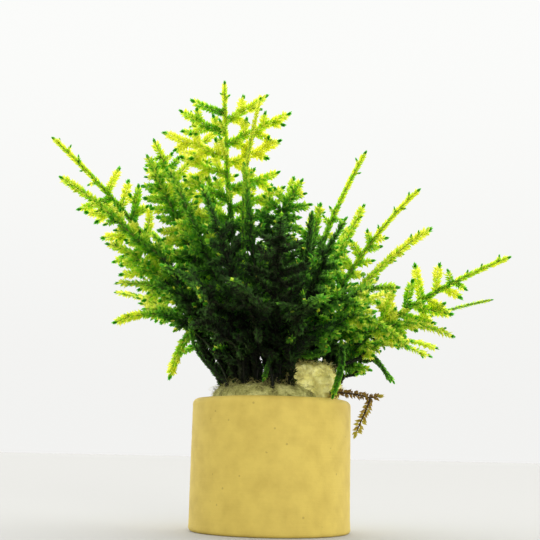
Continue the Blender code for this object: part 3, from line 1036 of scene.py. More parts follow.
class FoliageTree(PieceTree):
    """Clothes strands with leaves and gives each strand its stem."""

    NAME = "foliage"
    SIDES = 4
    BUD_TONE = 0.97
    OPEN_TONE = 0.86
    BUD_OPENS = ((0.25, 1.0), (0.16, 1.0))
    BUD_SHRINKS = ((0.0, 1.0), (0.85, 1.0))
    BUD_GREENS = ((0.45, 0.75), (0.0, 1.0))
    OLD_OR_SHADED = ((0.15, 0.4), (1.0, 0.0))
    SIDE_LEAN = ((0.0, 1.0), (0.55, 1.0))
    TURN_SPREAD = (-0.35, 0.35)
    LEAN_SPREAD = (0.78, 1.2)
    SIZE_SPREAD = (0.8, 1.15)
    TONE_SPREAD = (-0.15, 0.15)
    SMALLEST_LEAF = 0.25 * MM
    INPUTS = (
        ("Leaf", "NodeSocketObject", None),
        ("Leaf Step", "NodeSocketFloat", 0.09 * MM),
        ("Stem Step", "NodeSocketFloat", 0.7 * MM),
        ("Spread", "NodeSocketFloat", math.radians(62.0)),
        ("Bud Length", "NodeSocketFloat", 1.0 * MM),
        ("Flatness", "NodeSocketFloat", 0.45),
        ("Twist", "NodeSocketFloat", math.radians(68.0)),
        ("Seed", "NodeSocketInt", 1),
        ("Leaf Finish", "NodeSocketMaterial", None),
        ("Stem Finish", "NodeSocketMaterial", None),
    )

    def grow(self, geometry: Socket) -> Socket:
        """Leaves and stems together."""
        curve = self.graph.add("GeometryNodeMeshToCurve", {"Mesh": geometry}).outputs[0]
        joined = self.graph.add("GeometryNodeJoinGeometry")
        self.tree.links.new(self.leaves(curve), joined.inputs[0])
        self.tree.links.new(self.stems(curve), joined.inputs[0])
        return joined.outputs[0]

    def leaves(self, curve: Socket) -> Socket:
        """Leaves set round each strand on the golden angle, closed into a bud at its end."""
        graph, given = self.graph, self.given
        seed = given["Seed"]
        inputs = {"Curve": curve, "Length": given["Leaf Step"]}
        fine = graph.add("GeometryNodeResampleCurve", inputs, mode="LENGTH").outputs[0]
        parameter = graph.add("GeometryNodeSplineParameter").outputs
        whole = graph.add("GeometryNodeSplineLength").outputs["Length"]
        to_end = graph.math("SUBTRACT", whole, parameter["Length"])
        past_bud = graph.math("DIVIDE", to_end, given["Bud Length"])

        tangent = graph.add("GeometryNodeInputTangent").outputs[0]
        side = graph.vector_math("CROSS_PRODUCT", tangent, graph.attribute("plane", "FLOAT_VECTOR"))
        axes = {"Primary Axis": tangent, "Secondary Axis": side}
        stand = graph.add("FunctionNodeAxesToRotation", axes, primary_axis="Z", secondary_axis="X")
        turn = graph.math("MULTIPLY", parameter["Index"], GOLDEN_ANGLE)
        turn = graph.math("ADD", turn, graph.random(*self.TURN_SPREAD, seed))
        gather = graph.product(graph.math("SINE", graph.math("MULTIPLY", turn, 2.0)), given["Flatness"])
        turn = graph.math("SUBTRACT", turn, gather)
        sideways = graph.math("ABSOLUTE", graph.math("COSINE", turn))
        lean = graph.product(
            given["Spread"],
            graph.ranged(sideways, *self.SIDE_LEAN),
            graph.ranged(past_bud, *self.BUD_OPENS),
            graph.attribute("spread"),
            graph.random(*self.LEAN_SPREAD, graph.math("ADD", seed, 1.0)),
        )
        twist = graph.math("MULTIPLY", graph.math("COSINE", turn), given["Twist"])
        stand = graph.turned(stand.outputs[0], (Z_AXIS, turn), (Y_AXIS, lean), (Z_AXIS, twist))

        leaf = graph.attribute("leaf")
        shrink = graph.ranged(past_bud, *self.BUD_SHRINKS)
        scale = graph.product(leaf, shrink, graph.random(*self.SIZE_SPREAD, seed))
        wanted = graph.math("GREATER_THAN", leaf, self.SMALLEST_LEAF)
        tone = graph.math("ADD", graph.attribute("tone"), graph.random(*self.TONE_SPREAD, seed))
        tone = graph.math("MINIMUM", tone, self.OPEN_TONE)
        # Where the tone is low, at an old stem foot or in the hearts' painted shade, the bud keeps that
        # low tone.
        old_or_shaded = graph.ranged(graph.attribute("tone"), *self.OLD_OR_SHADED)
        green = graph.math("MAXIMUM", graph.ranged(past_bud, *self.BUD_GREENS), old_or_shaded)
        change = graph.math("MULTIPLY", green, graph.math("SUBTRACT", tone, self.BUD_TONE))
        toned = graph.stored(fine, "tone", graph.math("ADD", self.BUD_TONE, change))
        real = self.laid(toned, "Leaf", stand, scale, wanted)
        u = self.varied_tone("across", 0.05)
        v = graph.math("MULTIPLY", graph.attribute("along"), 0.85)
        return self.finished(real, u, v, "Leaf Finish", smooth=False)

    def stems(self, curve: Socket) -> Socket:
        """A thin tube along each strand."""
        graph, given = self.graph, self.given
        inputs = {"Curve": curve, "Length": given["Stem Step"]}
        coarse = graph.add("GeometryNodeResampleCurve", inputs, mode="LENGTH").outputs[0]
        length = graph.add("GeometryNodeSplineParameter").outputs["Factor"]
        coarse = graph.stored(coarse, "along", length)
        circle = graph.add("GeometryNodeCurvePrimitiveCircle", {"Resolution": self.SIDES, "Radius": 1.0})
        around = graph.add("GeometryNodeSplineParameter").outputs["Factor"]
        inputs = {
            "Curve": coarse,
            "Profile Curve": graph.stored(circle.outputs[0], "around", around),
            "Scale": graph.attribute("thick"),
            "Fill Caps": True,
        }
        tube = graph.add("GeometryNodeCurveToMesh", inputs).outputs[0]
        u = self.varied_tone("along", 0.03)
        v = graph.math("ADD", graph.math("MULTIPLY", graph.attribute("around"), 0.1), 0.89)
        return self.finished(tube, u, v, "Stem Finish", smooth=True)


class FibreTree(PieceTree):
    """Scatters bowed fibres over a body, denser and more raised where its attribute "fuzz" is high."""

    NAME = "fibres"
    TONE_SPREAD = (0.03, 0.9)
    INPUTS = (
        ("Fibre", "NodeSocketObject", None),
        ("Density", "NodeSocketFloat", 4.0e6),
        ("Shortest", "NodeSocketFloat", 1.0 * MM),
        ("Longest", "NodeSocketFloat", 3.2 * MM),
        ("Lowest Tilt", "NodeSocketFloat", math.radians(50.0)),
        ("Highest Tilt", "NodeSocketFloat", math.radians(88.0)),
        ("Seed", "NodeSocketInt", 1),
        ("Finish", "NodeSocketMaterial", None),
    )

    def grow(self, geometry: Socket) -> Socket:
        """The fibres alone, without the body they lie on."""
        graph, given = self.graph, self.given
        density = graph.math("MULTIPLY", given["Density"], graph.attribute("fuzz"))
        inputs = {"Mesh": geometry, "Density": density, "Seed": given["Seed"]}
        spots = graph.add("GeometryNodeDistributePointsOnFaces", inputs)
        seeds = [given["Seed"]] + [graph.math("ADD", given["Seed"], float(k)) for k in range(1, 5)]
        spin = graph.random(0.0, 2.0 * math.pi, seeds[0])
        span = graph.math("SUBTRACT", given["Highest Tilt"], given["Lowest Tilt"])
        tilt = graph.math("MULTIPLY", graph.random(0.0, 1.0, seeds[1]), span)
        tilt = graph.math("ADD", given["Lowest Tilt"], tilt)
        roll = graph.random(0.0, 2.0 * math.pi, seeds[2])
        turns = (Z_AXIS, spin), (Y_AXIS, tilt), (Z_AXIS, roll)
        stand = graph.turned(spots.outputs["Rotation"], *turns)
        share = graph.math("POWER", graph.random(0.0, 1.0, seeds[3]), 2.0)
        reach = graph.math("SUBTRACT", given["Longest"], given["Shortest"])
        scale = graph.math("ADD", given["Shortest"], graph.math("MULTIPLY", share, reach))
        scale = graph.math("MULTIPLY", scale, graph.attribute("fuzz"))
        tone = graph.random(*self.TONE_SPREAD, seeds[4])
        toned = graph.stored(spots.outputs["Points"], "tone", tone)
        real = self.laid(toned, "Fibre", stand, scale)
        u = self.varied_tone("across", 0.05)
        v = graph.math("MULTIPLY", graph.attribute("along"), 0.95)
        return self.finished(real, u, v, "Finish", smooth=True)


KEPT_ATTRIBUTES = {"position", "sharp_face", "sharp_edge", "material_index", UV_MAP}


def grown(name: str, mesh: bpy.types.Mesh, tree: PieceTree, values: dict[str, object]) -> Piece:
    """A plain mesh object made by running a Geometry Nodes tree on a mesh.

    Args:
        name: The new object's name.
        mesh: What the tree starts from.
        tree: The tree.
        values: Its inputs by name.

    Returns:
        The new object, linked to the scene.
    """
    seed_object = linked(name + "_strands", mesh)
    modifier = seed_object.modifiers.new("Grow", "NODES")
    modifier.node_group = tree.tree
    for key, value in values.items():
        modifier[tree.socket(key)] = value
    graph = bpy.context.evaluated_depsgraph_get()
    result = bpy.data.meshes.new_from_object(seed_object.evaluated_get(graph), depsgraph=graph)
    bpy.data.objects.remove(seed_object)
    for attribute in [a.name for a in result.attributes if not a.name.startswith(".")]:
        if attribute not in KEPT_ATTRIBUTES:
            result.attributes.remove(result.attributes[attribute])
    for slot in range(len(result.materials) - 1, -1, -1):
        if result.materials[slot] is None:
            result.materials.pop(index=slot)
    result.name = name
    return linked(name, result)


@dataclass(frozen=True)
class TwigletRule:
    """How small twigs are set along a side twig that is long enough to branch."""

    branches_from: float = 8.0 * MM
    first: float = 1.6 * MM
    step: float = 2.6 * MM
    clear: float = 2.5 * MM
    share: float = 0.42
    shortest: float = 1.0 * MM
    longest: float = 4.2 * MM
    spread: Pair = (0.75, 1.1)
    angle: float = 0.9
    tone_rise: float = 0.12


@dataclass
class MossShoot:
    """One shoot: a stem, its side twigs in one plane, and short twigs all round its crowded foot."""

    name: str
    plan: ShootPlan
    path: list[Vector]
    seed: int
    first_twig: float = 0.10
    last_twig: float = 0.965
    close_leaf: Pair = (1.25 * MM, 1.15 * MM)
    scale_leaf: Pair = (0.8 * MM, 0.9 * MM)
    open_leaf: Pair = (1.4 * MM, 1.35 * MM)
    close_spread: float = 0.66
    stem_radius: Pair = (0.28 * MM, 0.12 * MM)
    thin_radius: Pair = (0.2 * MM, 0.08 * MM)
    twig_radius: Pair = (0.12 * MM, 0.06 * MM)
    root_depth: float = 1.2 * MM
    bare_share: float = 0.55
    stem_tone_rise: float = 0.02
    foot_reach: float = 0.45
    foot_ends: Pair = (0.1, 0.3)
    core_reach: float = 7.2
    core_ends: float = 0.68
    core_fade: float = 0.45
    full_reach_before_tip: float = 0.04
    scaled_reach: float = 0.4
    place_spread: Pair = (0.2, 0.8)
    length_spread: Pair = (0.72, 1.08)
    shortest_twig: float = 1.1 * MM
    crowded_until: float = 0.6
    crowded_fade: float = 0.4
    swing: Pair = (0.22, 1.3)
    depth_share: float = 0.55
    depth_spread: Pair = (0.6, 1.1)
    depth_swing: float = 1.45
    angle_spread: Pair = (-0.25, 0.2)
    tone_spread: Pair = (-0.18, 0.12)
    twig_tones: Pair = (-0.14, 0.08)
    full_twig: float = 3.5 * MM
    short_twig_leaf: float = 0.55
    point_step: float = 1.0 * MM
    bend_spread: Pair = (-0.1, 0.4)
    lift_spread: Pair = (-0.16, 0.16)
    lowest_twig: float = 34.5 * MM
    left_lift: float = 8.0 * MM
    left_ends: Pair = (11.0 * MM, 14.5 * MM)
    over_rim: float = 10.5 * MM
    side_bud: float = 1.3 * MM
    side_bud_step: float = 3.2 * MM
    side_bud_swing: float = 0.8
    side_bud_places: Pair = (0.5, 1.1)
    side_bud_sizes: Pair = (0.7, 1.2)
    twiglets: TwigletRule = TwigletRule()
    strands: list[Strand] = field(default_factory=list)

    def __post_init__(self) -> None:
        """Seeds the shoot's own random numbers."""
        self.chance = random.Random(self.seed)
        self.plane = Vector(self.plan.facing.value)

    def along(self, share: float) -> tuple[Vector, Vector]:
        """Point and direction of the stem at a share of the way from root to tip."""
        path = self.path
        place = share * (len(path) - 1)
        k = min(int(place), len(path) - 2)
        here = path[k].lerp(path[k + 1], place - k)
        before = path[max(0, k - 1)]
        after = path[min(len(path) - 1, k + 2)]
        return here, (after - before).normalized()

    def length(self) -> float:
        """Length of the stem."""
        return sum((b - a).length for a, b in zip(self.path, self.path[1:]))

    def reach_at(self, share: float) -> float:
        """Length that side twigs have at a share of the way from root to tip, in metres."""
        full = self.plan.clear_tip - self.full_reach_before_tip
        by_tip = smooth_step(1.0 - share, full, full + self.plan.taper)
        start, end = self.foot_ends
        past_foot = min(1.0, max(0.0, (share - start) / (end - start)))
        by_root = self.foot_reach + (1.0 - self.foot_reach) * past_foot
        core = 0.0
        if self.plan.reach:
            core = self.core_reach * smooth_step(self.core_ends - share, 0.0, self.core_fade)
        return max(self.plan.reach * by_tip * by_root, core) * MM

    def twig(
        self, foot: Vector, way: Vector, towards: Vector, length: float, plane: Vector
    ) -> list[Vector]:
        """Points of one twig that bends a little towards the stem's tip.

        Args:
            foot: Where it leaves the stem.
            way: The way it leaves.
            towards: The way it bends.
            length: Its length.
            plane: The way its flat side faces.

        Returns:
            Its points from foot to tip.
        """
        count = max(3, round(length / self.point_step))
        bend = self.chance.uniform(*self.bend_spread)
        lift = self.chance.uniform(*self.lift_spread)
        points = [foot]
        for k in range(1, count + 1):
            share = k / count
            step = (way + towards * (bend * share) + plane * (lift * share)).normalized()
            point = points[-1] + step * (length / count)
            lowest = self.lowest_twig + self.left_lift * smooth_step(-point.x, *self.left_ends)
            hangs = point.z < lowest and math.hypot(point.x, point.y) > self.over_rim
            if hangs and k > 1:
                break
            points.append(point)
        return points

    def grow_twig(self, share: float, sign: float, length: float, swing: float) -> None:
        """Adds one side twig, and the small ones on it if it is long.

        Args:
            share: Where it leaves the stem, as a share of the way from root to tip.
            sign: Which side of the stem, -1 or 1.
            length: Its length.
            swing: Its turn out of the shoot's plane, about the stem.
        """
        here, direction = self.along(share)
        side = direction.cross(self.plane).normalized() * sign
        side.rotate(Quaternion(direction, swing))
        angle = math.radians(self.plan.twig_angle) + self.chance.uniform(*self.angle_spread)
        way = direction * math.cos(angle) + side * math.sin(angle)
        plane = side.cross(direction) * sign
        tone = self.plan.tone + self.chance.uniform(*self.tone_spread)
        points = self.twig(here, way, direction, length, plane)
        size = mixed(self.short_twig_leaf, 1.0, smooth_step(length, self.side_bud, self.full_twig))
        leaf = tuple(leaf_length * size for leaf_length in self.open_leaf)
        tones = tuple(tone + change for change in self.twig_tones)
        unshaded = self.plan.kept_unshaded
        self.strands.append(Strand(points, plane, self.twig_radius, leaf, tones, kept_unshaded=unshaded))
        if length >= self.twiglets.branches_from:
            self.grow_twiglets(points, plane, length, tone)

    def grow_twiglets(self, points: list[Vector], plane: Vector, length: float, tone: float) -> None:
        """Adds the small twigs on a long side twig, to each side in turn.

        Args:
            points: The side twig's points.
            plane: The way its flat side faces.
            length: Its length.
            tone: Its tone.
        """
        rule = self.twiglets
        tones = (tone, tone + rule.tone_rise)
        for k in range(int((length - rule.clear) / rule.step)):
            place = (rule.first + k * rule.step) / length
            index = min(int(place * (len(points) - 1)), len(points) - 2)
            foot = points[index].lerp(points[index + 1], place * (len(points) - 1) - index)
            ahead = (points[index + 1] - points[index]).normalized()
            other = ahead.cross(plane).normalized() * (-1.0) ** k
            small = min(rule.share * length * (1.0 - place) + rule.shortest, rule.longest)
            small *= self.chance.uniform(*rule.spread)
            way = ahead * math.cos(rule.angle) + other * math.sin(rule.angle)
            twiglet = self.twig(foot, way, ahead, small, plane)
            self.strands.append(Strand(twiglet, plane, self.twig_radius, self.open_leaf, tones))

    def grow_side_buds(self) -> None:
        """Adds the first small buds of twigs to come, along the clear end of the stem."""
        if self.plan.reach <= 0.0:
            return
        clear = self.plan.clear_tip * self.length()
        for k in range(int(clear / self.side_bud_step)):
            place = k + self.chance.uniform(*self.side_bud_places)
            share = 1.0 - place * self.side_bud_step / self.length()
            swing = self.chance.uniform(-self.side_bud_swing, self.side_bud_swing)
            size = self.side_bud * self.chance.uniform(*self.side_bud_sizes)
            self.grow_twig(share, self.chance.choice((-1.0, 1.0)), size, swing)

    def grow(self) -> None:
        """Fills the list of strands: the stem first, then its twigs."""
        habit = self.plan.habit
        scaled = habit is Habit.SCALED
        wide = habit in (Habit.PLUMED, Habit.BARE_FOOT)
        leaf = self.scale_leaf if scaled else self.open_leaf if wide else self.close_leaf
        leafy_from = self.bare_share if habit is Habit.BARE_FOOT else 0.0
        rooted = [self.path[0] - Vector((0.0, 0.0, self.root_depth)), *self.path]
        tone = self.plan.tone
        spread = 1.0 if wide else self.close_spread
        unshaded = self.plan.kept_unshaded
        radius = self.stem_radius if self.plan.reach else self.thin_radius
        tones = (tone - self.plan.foot_fade, tone + self.stem_tone_rise)
        stem = Strand(rooted, self.plane, radius, leaf, tones, leafy_from, spread, unshaded)
        self.strands.append(stem)
        if habit is Habit.BARE_FOOT:
            return
        self.grow_side_buds()
        span = self.last_twig - self.first_twig
        count = int(self.length() * span / (self.plan.pitch * MM))
        sign = self.chance.choice((-1.0, 1.0))
        for k in range(count):
            share = self.first_twig + span * (k + self.chance.uniform(*self.place_spread)) / count
            length = self.reach_at(share) * self.chance.uniform(*self.length_spread)
            if scaled:
                length *= self.scaled_reach
            sign = -sign
            crowded = smooth_step(self.crowded_until - share, 0.0, self.crowded_fade)
            swing = self.chance.uniform(-1.0, 1.0) * mixed(*self.swing, crowded)
            if length <= self.shortest_twig:
                continue
            self.grow_twig(share, sign, length, swing)
            out_of_plane = length * self.depth_share * self.chance.uniform(*self.depth_spread)
            if k % 2 and out_of_plane > self.shortest_twig and not scaled:
                swing += self.chance.choice((-self.depth_swing, self.depth_swing))
                self.grow_twig(share, sign, out_of_plane, swing)

    def build(self, tree: FoliageTree, values: dict[str, object]) -> Piece:
        """The finished shoot as one mesh object."""
        self.grow()
        mesh = strand_mesh(self.name + "_strands", self.strands)
        return grown(self.name, mesh, tree, values | {"Seed": self.seed})


# ---------------------------------------------------------------------------
# Pot, rock wool and dry sprig
# ---------------------------------------------------------------------------


def object_from(name: str, points: Iterable[Vector], faces: list[Face], finish: Material) -> Piece:
    """A smooth mesh object with one finish, its faces turned outwards.

    Args:
        name: The object's name.
        points: The corner points.
        faces: The corners of each face.
        finish: The material.

    Returns:
        The object, linked to the scene.
    """
    mesh = bpy.data.meshes.new(name)
    mesh.from_pydata([tuple(point) for point in points], [], faces)
    form = bmesh.new()
    form.from_mesh(mesh)
    bmesh.ops.recalc_face_normals(form, faces=form.faces)
    for face in form.faces:
        face.smooth = True
    form.to_mesh(mesh)
    form.free()
    mesh.materials.append(finish)
    return linked(name, mesh)


def turned_faces(rings: int, sides: int) -> list[Face]:
    """Faces of a turned shape whose first and last points stand alone on the axis.

    Args:
        rings: How many rings lie between the two points.
        sides: How many points each ring has.

    Returns:
        The corners of each face: point 0, then the rings in turn, then the last point.
    """
    faces: list[Face] = []
    last = 1 + rings * sides
    for k in range(sides):
        after = (k + 1) % sides
        faces.append((0, 1 + after, 1 + k))
        faces.append((last, last - sides + k, last - sides + after))
        for ring in range(rings - 1):
            low, high = 1 + ring * sides, 1 + (ring + 1) * sides
            faces.append((low + k, low + after, high + after, high + k))
    return faces


def arc(centre: Pair, radius: float, start: float, end: float, steps: int) -> list[Pair]:
    """Points on an arc, by its angles in degrees."""
    turns = [math.radians(mixed(start, end, k / steps)) for k in range(steps + 1)]
    x, y = centre
    return [(x + radius * math.cos(turn), y + radius * math.sin(turn)) for turn in turns]


def divided(start: Pair, end: Pair, step: float) -> list[Pair]:
    """Points between two points of a profile, both ends left out."""
    count = max(1, round(math.dist(start, end) / step))
    shares = [k / count for k in range(1, count)]
    return [(mixed(start[0], end[0], share), mixed(start[1], end[1], share)) for share in shares]


@dataclass
class ClayPot:
    """Small hand-turned pot: a straight wall, a soft rim and a flat base."""

    shape: WoolShape
    wall: float = 2.6 * MM
    floor: float = 3.0 * MM
    rim_round: float = 1.3 * MM
    foot_round: float = 0.8 * MM
    sides: int = 144
    step: float = 0.7 * MM
    wobble: float = 0.10 * MM
    wobble_turns: float = 1.4
    wobble_pitch: float = 16.0 * MM
    ridge: float = 0.035 * MM
    ridge_turns: float = 0.6
    ridge_pitch: float = 0.8 * MM
    inward: float = 0.6
    even_foot: float = 3.0 * MM
    rim_lift: float = 1.6
    rim_lift_ends: Pair = (20.0 * MM, 28.0 * MM)

    def profile(self) -> list[Pair]:
        """Radius and height of each ring, from under the base, over the rim and down inside."""
        radius, height = self.shape.pot_radius, self.shape.pot_height
        foot, rim = self.foot_round, self.rim_round
        inside = radius - self.wall
        rows = divided((0.0, 0.0), (radius - foot, 0.0), 3.0 * self.step)
        rows += arc((radius - foot, foot), foot, -90.0, 0.0, 5)
        rows += divided((radius, foot), (radius, height - rim), self.step)
        rows += arc((radius - rim, height - rim), rim, 0.0, 90.0, 8)
        rows += arc((inside + rim, height - rim), rim, 90.0, 180.0, 8)[1:]
        rows += divided((inside, height - rim), (inside, self.floor), 3.0 * self.step)
        rows.append((inside, self.floor))
        return rows + divided((inside, self.floor), (0.0, self.floor), 3.0 * self.step)

    def unevenness(self, way: Vector, height: float, turns: float, pitch: float) -> float:
        """Noise over the wall, by how fast it changes round the pot and up it."""
        return noise.noise(Vector((turns * way.x, turns * way.y, height / pitch)))

    def build(self, finish: Material) -> Piece:
        """The pot as one closed wall, slightly uneven as hand-turned clay is."""
        points = [Vector((0.0, 0.0, 0.0))]
        rows = self.profile()
        for radius, height in rows:
            for k in range(self.sides):
                turn = 2.0 * math.pi * k / self.sides
                way = Vector((math.cos(turn), math.sin(turn), 0.0))
                broad = self.unevenness(way, height, self.wobble_turns, self.wobble_pitch)
                ridge = self.unevenness(way, height, self.ridge_turns, self.ridge_pitch)
                held = smooth_step(height, 0.0, self.even_foot)
                change = self.wobble * (broad - self.inward) + self.ridge * (ridge - self.inward)
                near_rim = smooth_step(height, *self.rim_lift_ends)
                lift = self.rim_lift * self.wobble * (broad - 0.5) * near_rim
                points.append(way * (radius + change * held) + Vector((0.0, 0.0, height + lift)))
        points.append(Vector((0.0, 0.0, self.floor)))
        return object_from("clay_pot", points, turned_faces(len(rows), self.sides), finish)


@dataclass
class WoolFibre:
    """One bowed fibre, a metre long, that the node tree scales down."""

    radius: float = 0.020
    thinning: float = 0.55
    bow: float = 0.17
    waver: float = 0.35
    sides: int = 3
    bends: int = 3

    def build(self) -> Piece:
        """The fibre as a hidden helper along +Z, thinner towards its free end."""
        points, along, across = [], [], []
        for k in range(self.bends + 1):
            share = k / self.bends
            thick = self.radius * (1.0 - self.thinning * share)
            bow = self.bow * math.sin(math.pi * share)
            waver = self.waver * self.bow * math.sin(2.0 * math.pi * share)
            middle = Vector((bow, waver, share))
            for side in range(self.sides):
                turn = 2.0 * math.pi * side / self.sides
                points.append(middle + Vector((thick * math.cos(turn), thick * math.sin(turn), 0.0)))
                along.append(share)
                across.append(side / self.sides)
        faces: list[Face] = [tuple(range(self.sides))[::-1]]
        for k in range(self.bends):
            for side in range(self.sides):
                after = (side + 1) % self.sides
                low, high = k * self.sides, (k + 1) * self.sides
                faces.append((low + side, low + after, high + after, high + side))
        faces.append(tuple(self.bends * self.sides + side for side in range(self.sides)))
        mesh = bpy.data.meshes.new("wool_fibre")
        mesh.from_pydata(points, [], faces)
        store(mesh, "along", along)
        store(mesh, "across", across)
        return bpy.data.objects.new("wool_fibre", mesh)


@dataclass
class RockWool:
    """Rock wool that fills the pot and stands over its rim, and the torn wad that lies on it."""

    shape: WoolShape
    sides: int = 168
    rings: int = 46
    lump: float = 0.55 * MM
    lump_size: float = 3.2 * MM
    grain: float = 0.22 * MM
    grain_size: float = 0.8 * MM
    calm_edge: float = 1.6 * MM
    bare_edge: float = 3.5 * MM
    edge_share: float = 0.35
    bottom: float = 3.15 * MM
    side_top: float = 26.0 * MM
    step: float = 2.5 * MM
    tuft_detail: int = 5
    tuft_size: float = 0.86
    tuft_squareness: float = 0.72
    tuft_lump: float = 0.24
    tuft_grain: float = 0.14
    tuft_tear: float = 0.30
    torn_from: Pair = (0.1, 0.9)
    least_fuzz: float = 0.6

    def mound(self, finish: Material) -> Piece:
        """The plug and its lumpy top, with fibres wanted only on the top."""
        shape = self.shape
        edge = shape.plug_radius
        corner, shoulder = (edge, self.bottom), (edge, self.side_top)
        rows = divided((0.0, self.bottom), corner, self.step) + [corner]
        rows += divided(corner, shoulder, self.step) + [shoulder]
        flat = len(rows)
        for k in range(self.rings):
            radius = edge * math.cos(0.5 * math.pi * k / self.rings)
            rows.append((radius, shape.top(min(radius, shape.mound_radius))))
        points = [Vector((0.0, 0.0, self.bottom))]
        fuzz = [0.0]
        for index, (radius, height) in enumerate(rows):
            for k in range(self.sides):
                turn = 2.0 * math.pi * k / self.sides
                place = Vector((radius * math.cos(turn), radius * math.sin(turn), height))
                if index >= flat:
                    broad = noise.noise(place / self.lump_size)
                    fine = noise.noise(place / self.grain_size)
                    rough = mixed(self.edge_share, 1.0, smooth_step(edge - radius, 0.0, self.calm_edge))
                    place.z += (self.lump * broad + self.grain * fine) * rough
                points.append(place)
                inner = mixed(self.edge_share, 1.0, smooth_step(edge - radius, 0.0, self.bare_edge))
                fuzz.append(inner if index >= flat else 0.0)
        points.append(Vector((0.0, 0.0, shape.top(0.0))))
        fuzz.append(1.0)
        piece = object_from("wool_mound", points, turned_faces(len(rows), self.sides), finish)
        store(piece.data, "fuzz", fuzz)
        return piece

    def tuft(self, finish: Material) -> Piece:
        """The torn wad: a soft block, ragged along its top, with its peak towards the left."""
        shape = self.shape
        form = bmesh.new()
        bmesh.ops.create_icosphere(form, subdivisions=self.tuft_detail, radius=1.0)
        half, centre = mm(shape.tuft_half), mm(shape.tuft_centre)
        fuzz = []
        for vertex in form.verts:
            way = vertex.co.copy()
            fourth = (abs(way.x) ** 4 + abs(way.y) ** 4 + abs(way.z) ** 4) ** 0.25
            boxy = 1.0 / max(self.tuft_squareness, fourth)
            broad = noise.noise(way * 2.1 + Vector((4.0, 1.0, 7.0)))
            fine = noise.noise(way * 8.5)
            ragged = abs(noise.noise(way * 4.3 + Vector((9.0, 3.0, 2.0))))
            torn = smooth_step(way.z, *self.torn_from)
            out = self.tuft_size * boxy + self.tuft_lump * broad + self.tuft_grain * fine
            out -= self.tuft_tear * torn * ragged
            place = Vector([half[i] * way[i] * out for i in range(3)])
            place.x += shape.tuft_peak_shift * max(0.0, way.z)
            vertex.co = centre + place
            fuzz.append(mixed(self.least_fuzz, 1.0, torn))
        mesh = bpy.data.meshes.new("wool_tuft")
        for face in form.faces:
            face.smooth = True
        form.to_mesh(mesh)
        form.free()
        mesh.materials.append(finish)
        store(mesh, "fuzz", fuzz)
        return linked("wool_tuft", mesh)


@dataclass
class DrySprig:
    """Dried sprig that lies on the rim and hangs over it, with small pointed leaves."""

    path: tuple[Triple, ...] = (
        (11.9, -10.7, 29.1),
        (14.4, -10.9, 29.1),
        (17.4, -11.1, 28.8),
        (20.4, -11.3, 28.1),
        (19.8, -11.5, 26.3),
        (18.8, -11.6, 24.1),
        (17.9, -11.7, 22.1),
        (17.3, -11.8, 20.6),
    )
    corner: int = 3
    spur: Triple = (1.9, -0.2, 0.35)
    leaf: Pair = (1.15 * MM, 1.4 * MM)
    radius: Pair = (0.24 * MM, 0.10 * MM)
    facing: Triple = (0.15, -1.0, 0.25)

    def strands(self) -> list[Strand]:
        """The lying part with its spur, and the hanging part."""
        points = [mm(point) for point in self.path]
        corner = points[self.corner]
        plane = Vector(self.facing).normalized()
        lying = points[: self.corner + 1] + [corner + mm(self.spur) * 0.5, corner + mm(self.spur)]
        hanging = points[self.corner:]
        return [
            Strand(lying, plane, self.radius, self.leaf, (0.25, 0.35)),
            Strand(hanging, plane, self.radius, self.leaf, (0.45, 0.8)),
        ]


# ---------------------------------------------------------------------------
# Studio
# ---------------------------------------------------------------------------


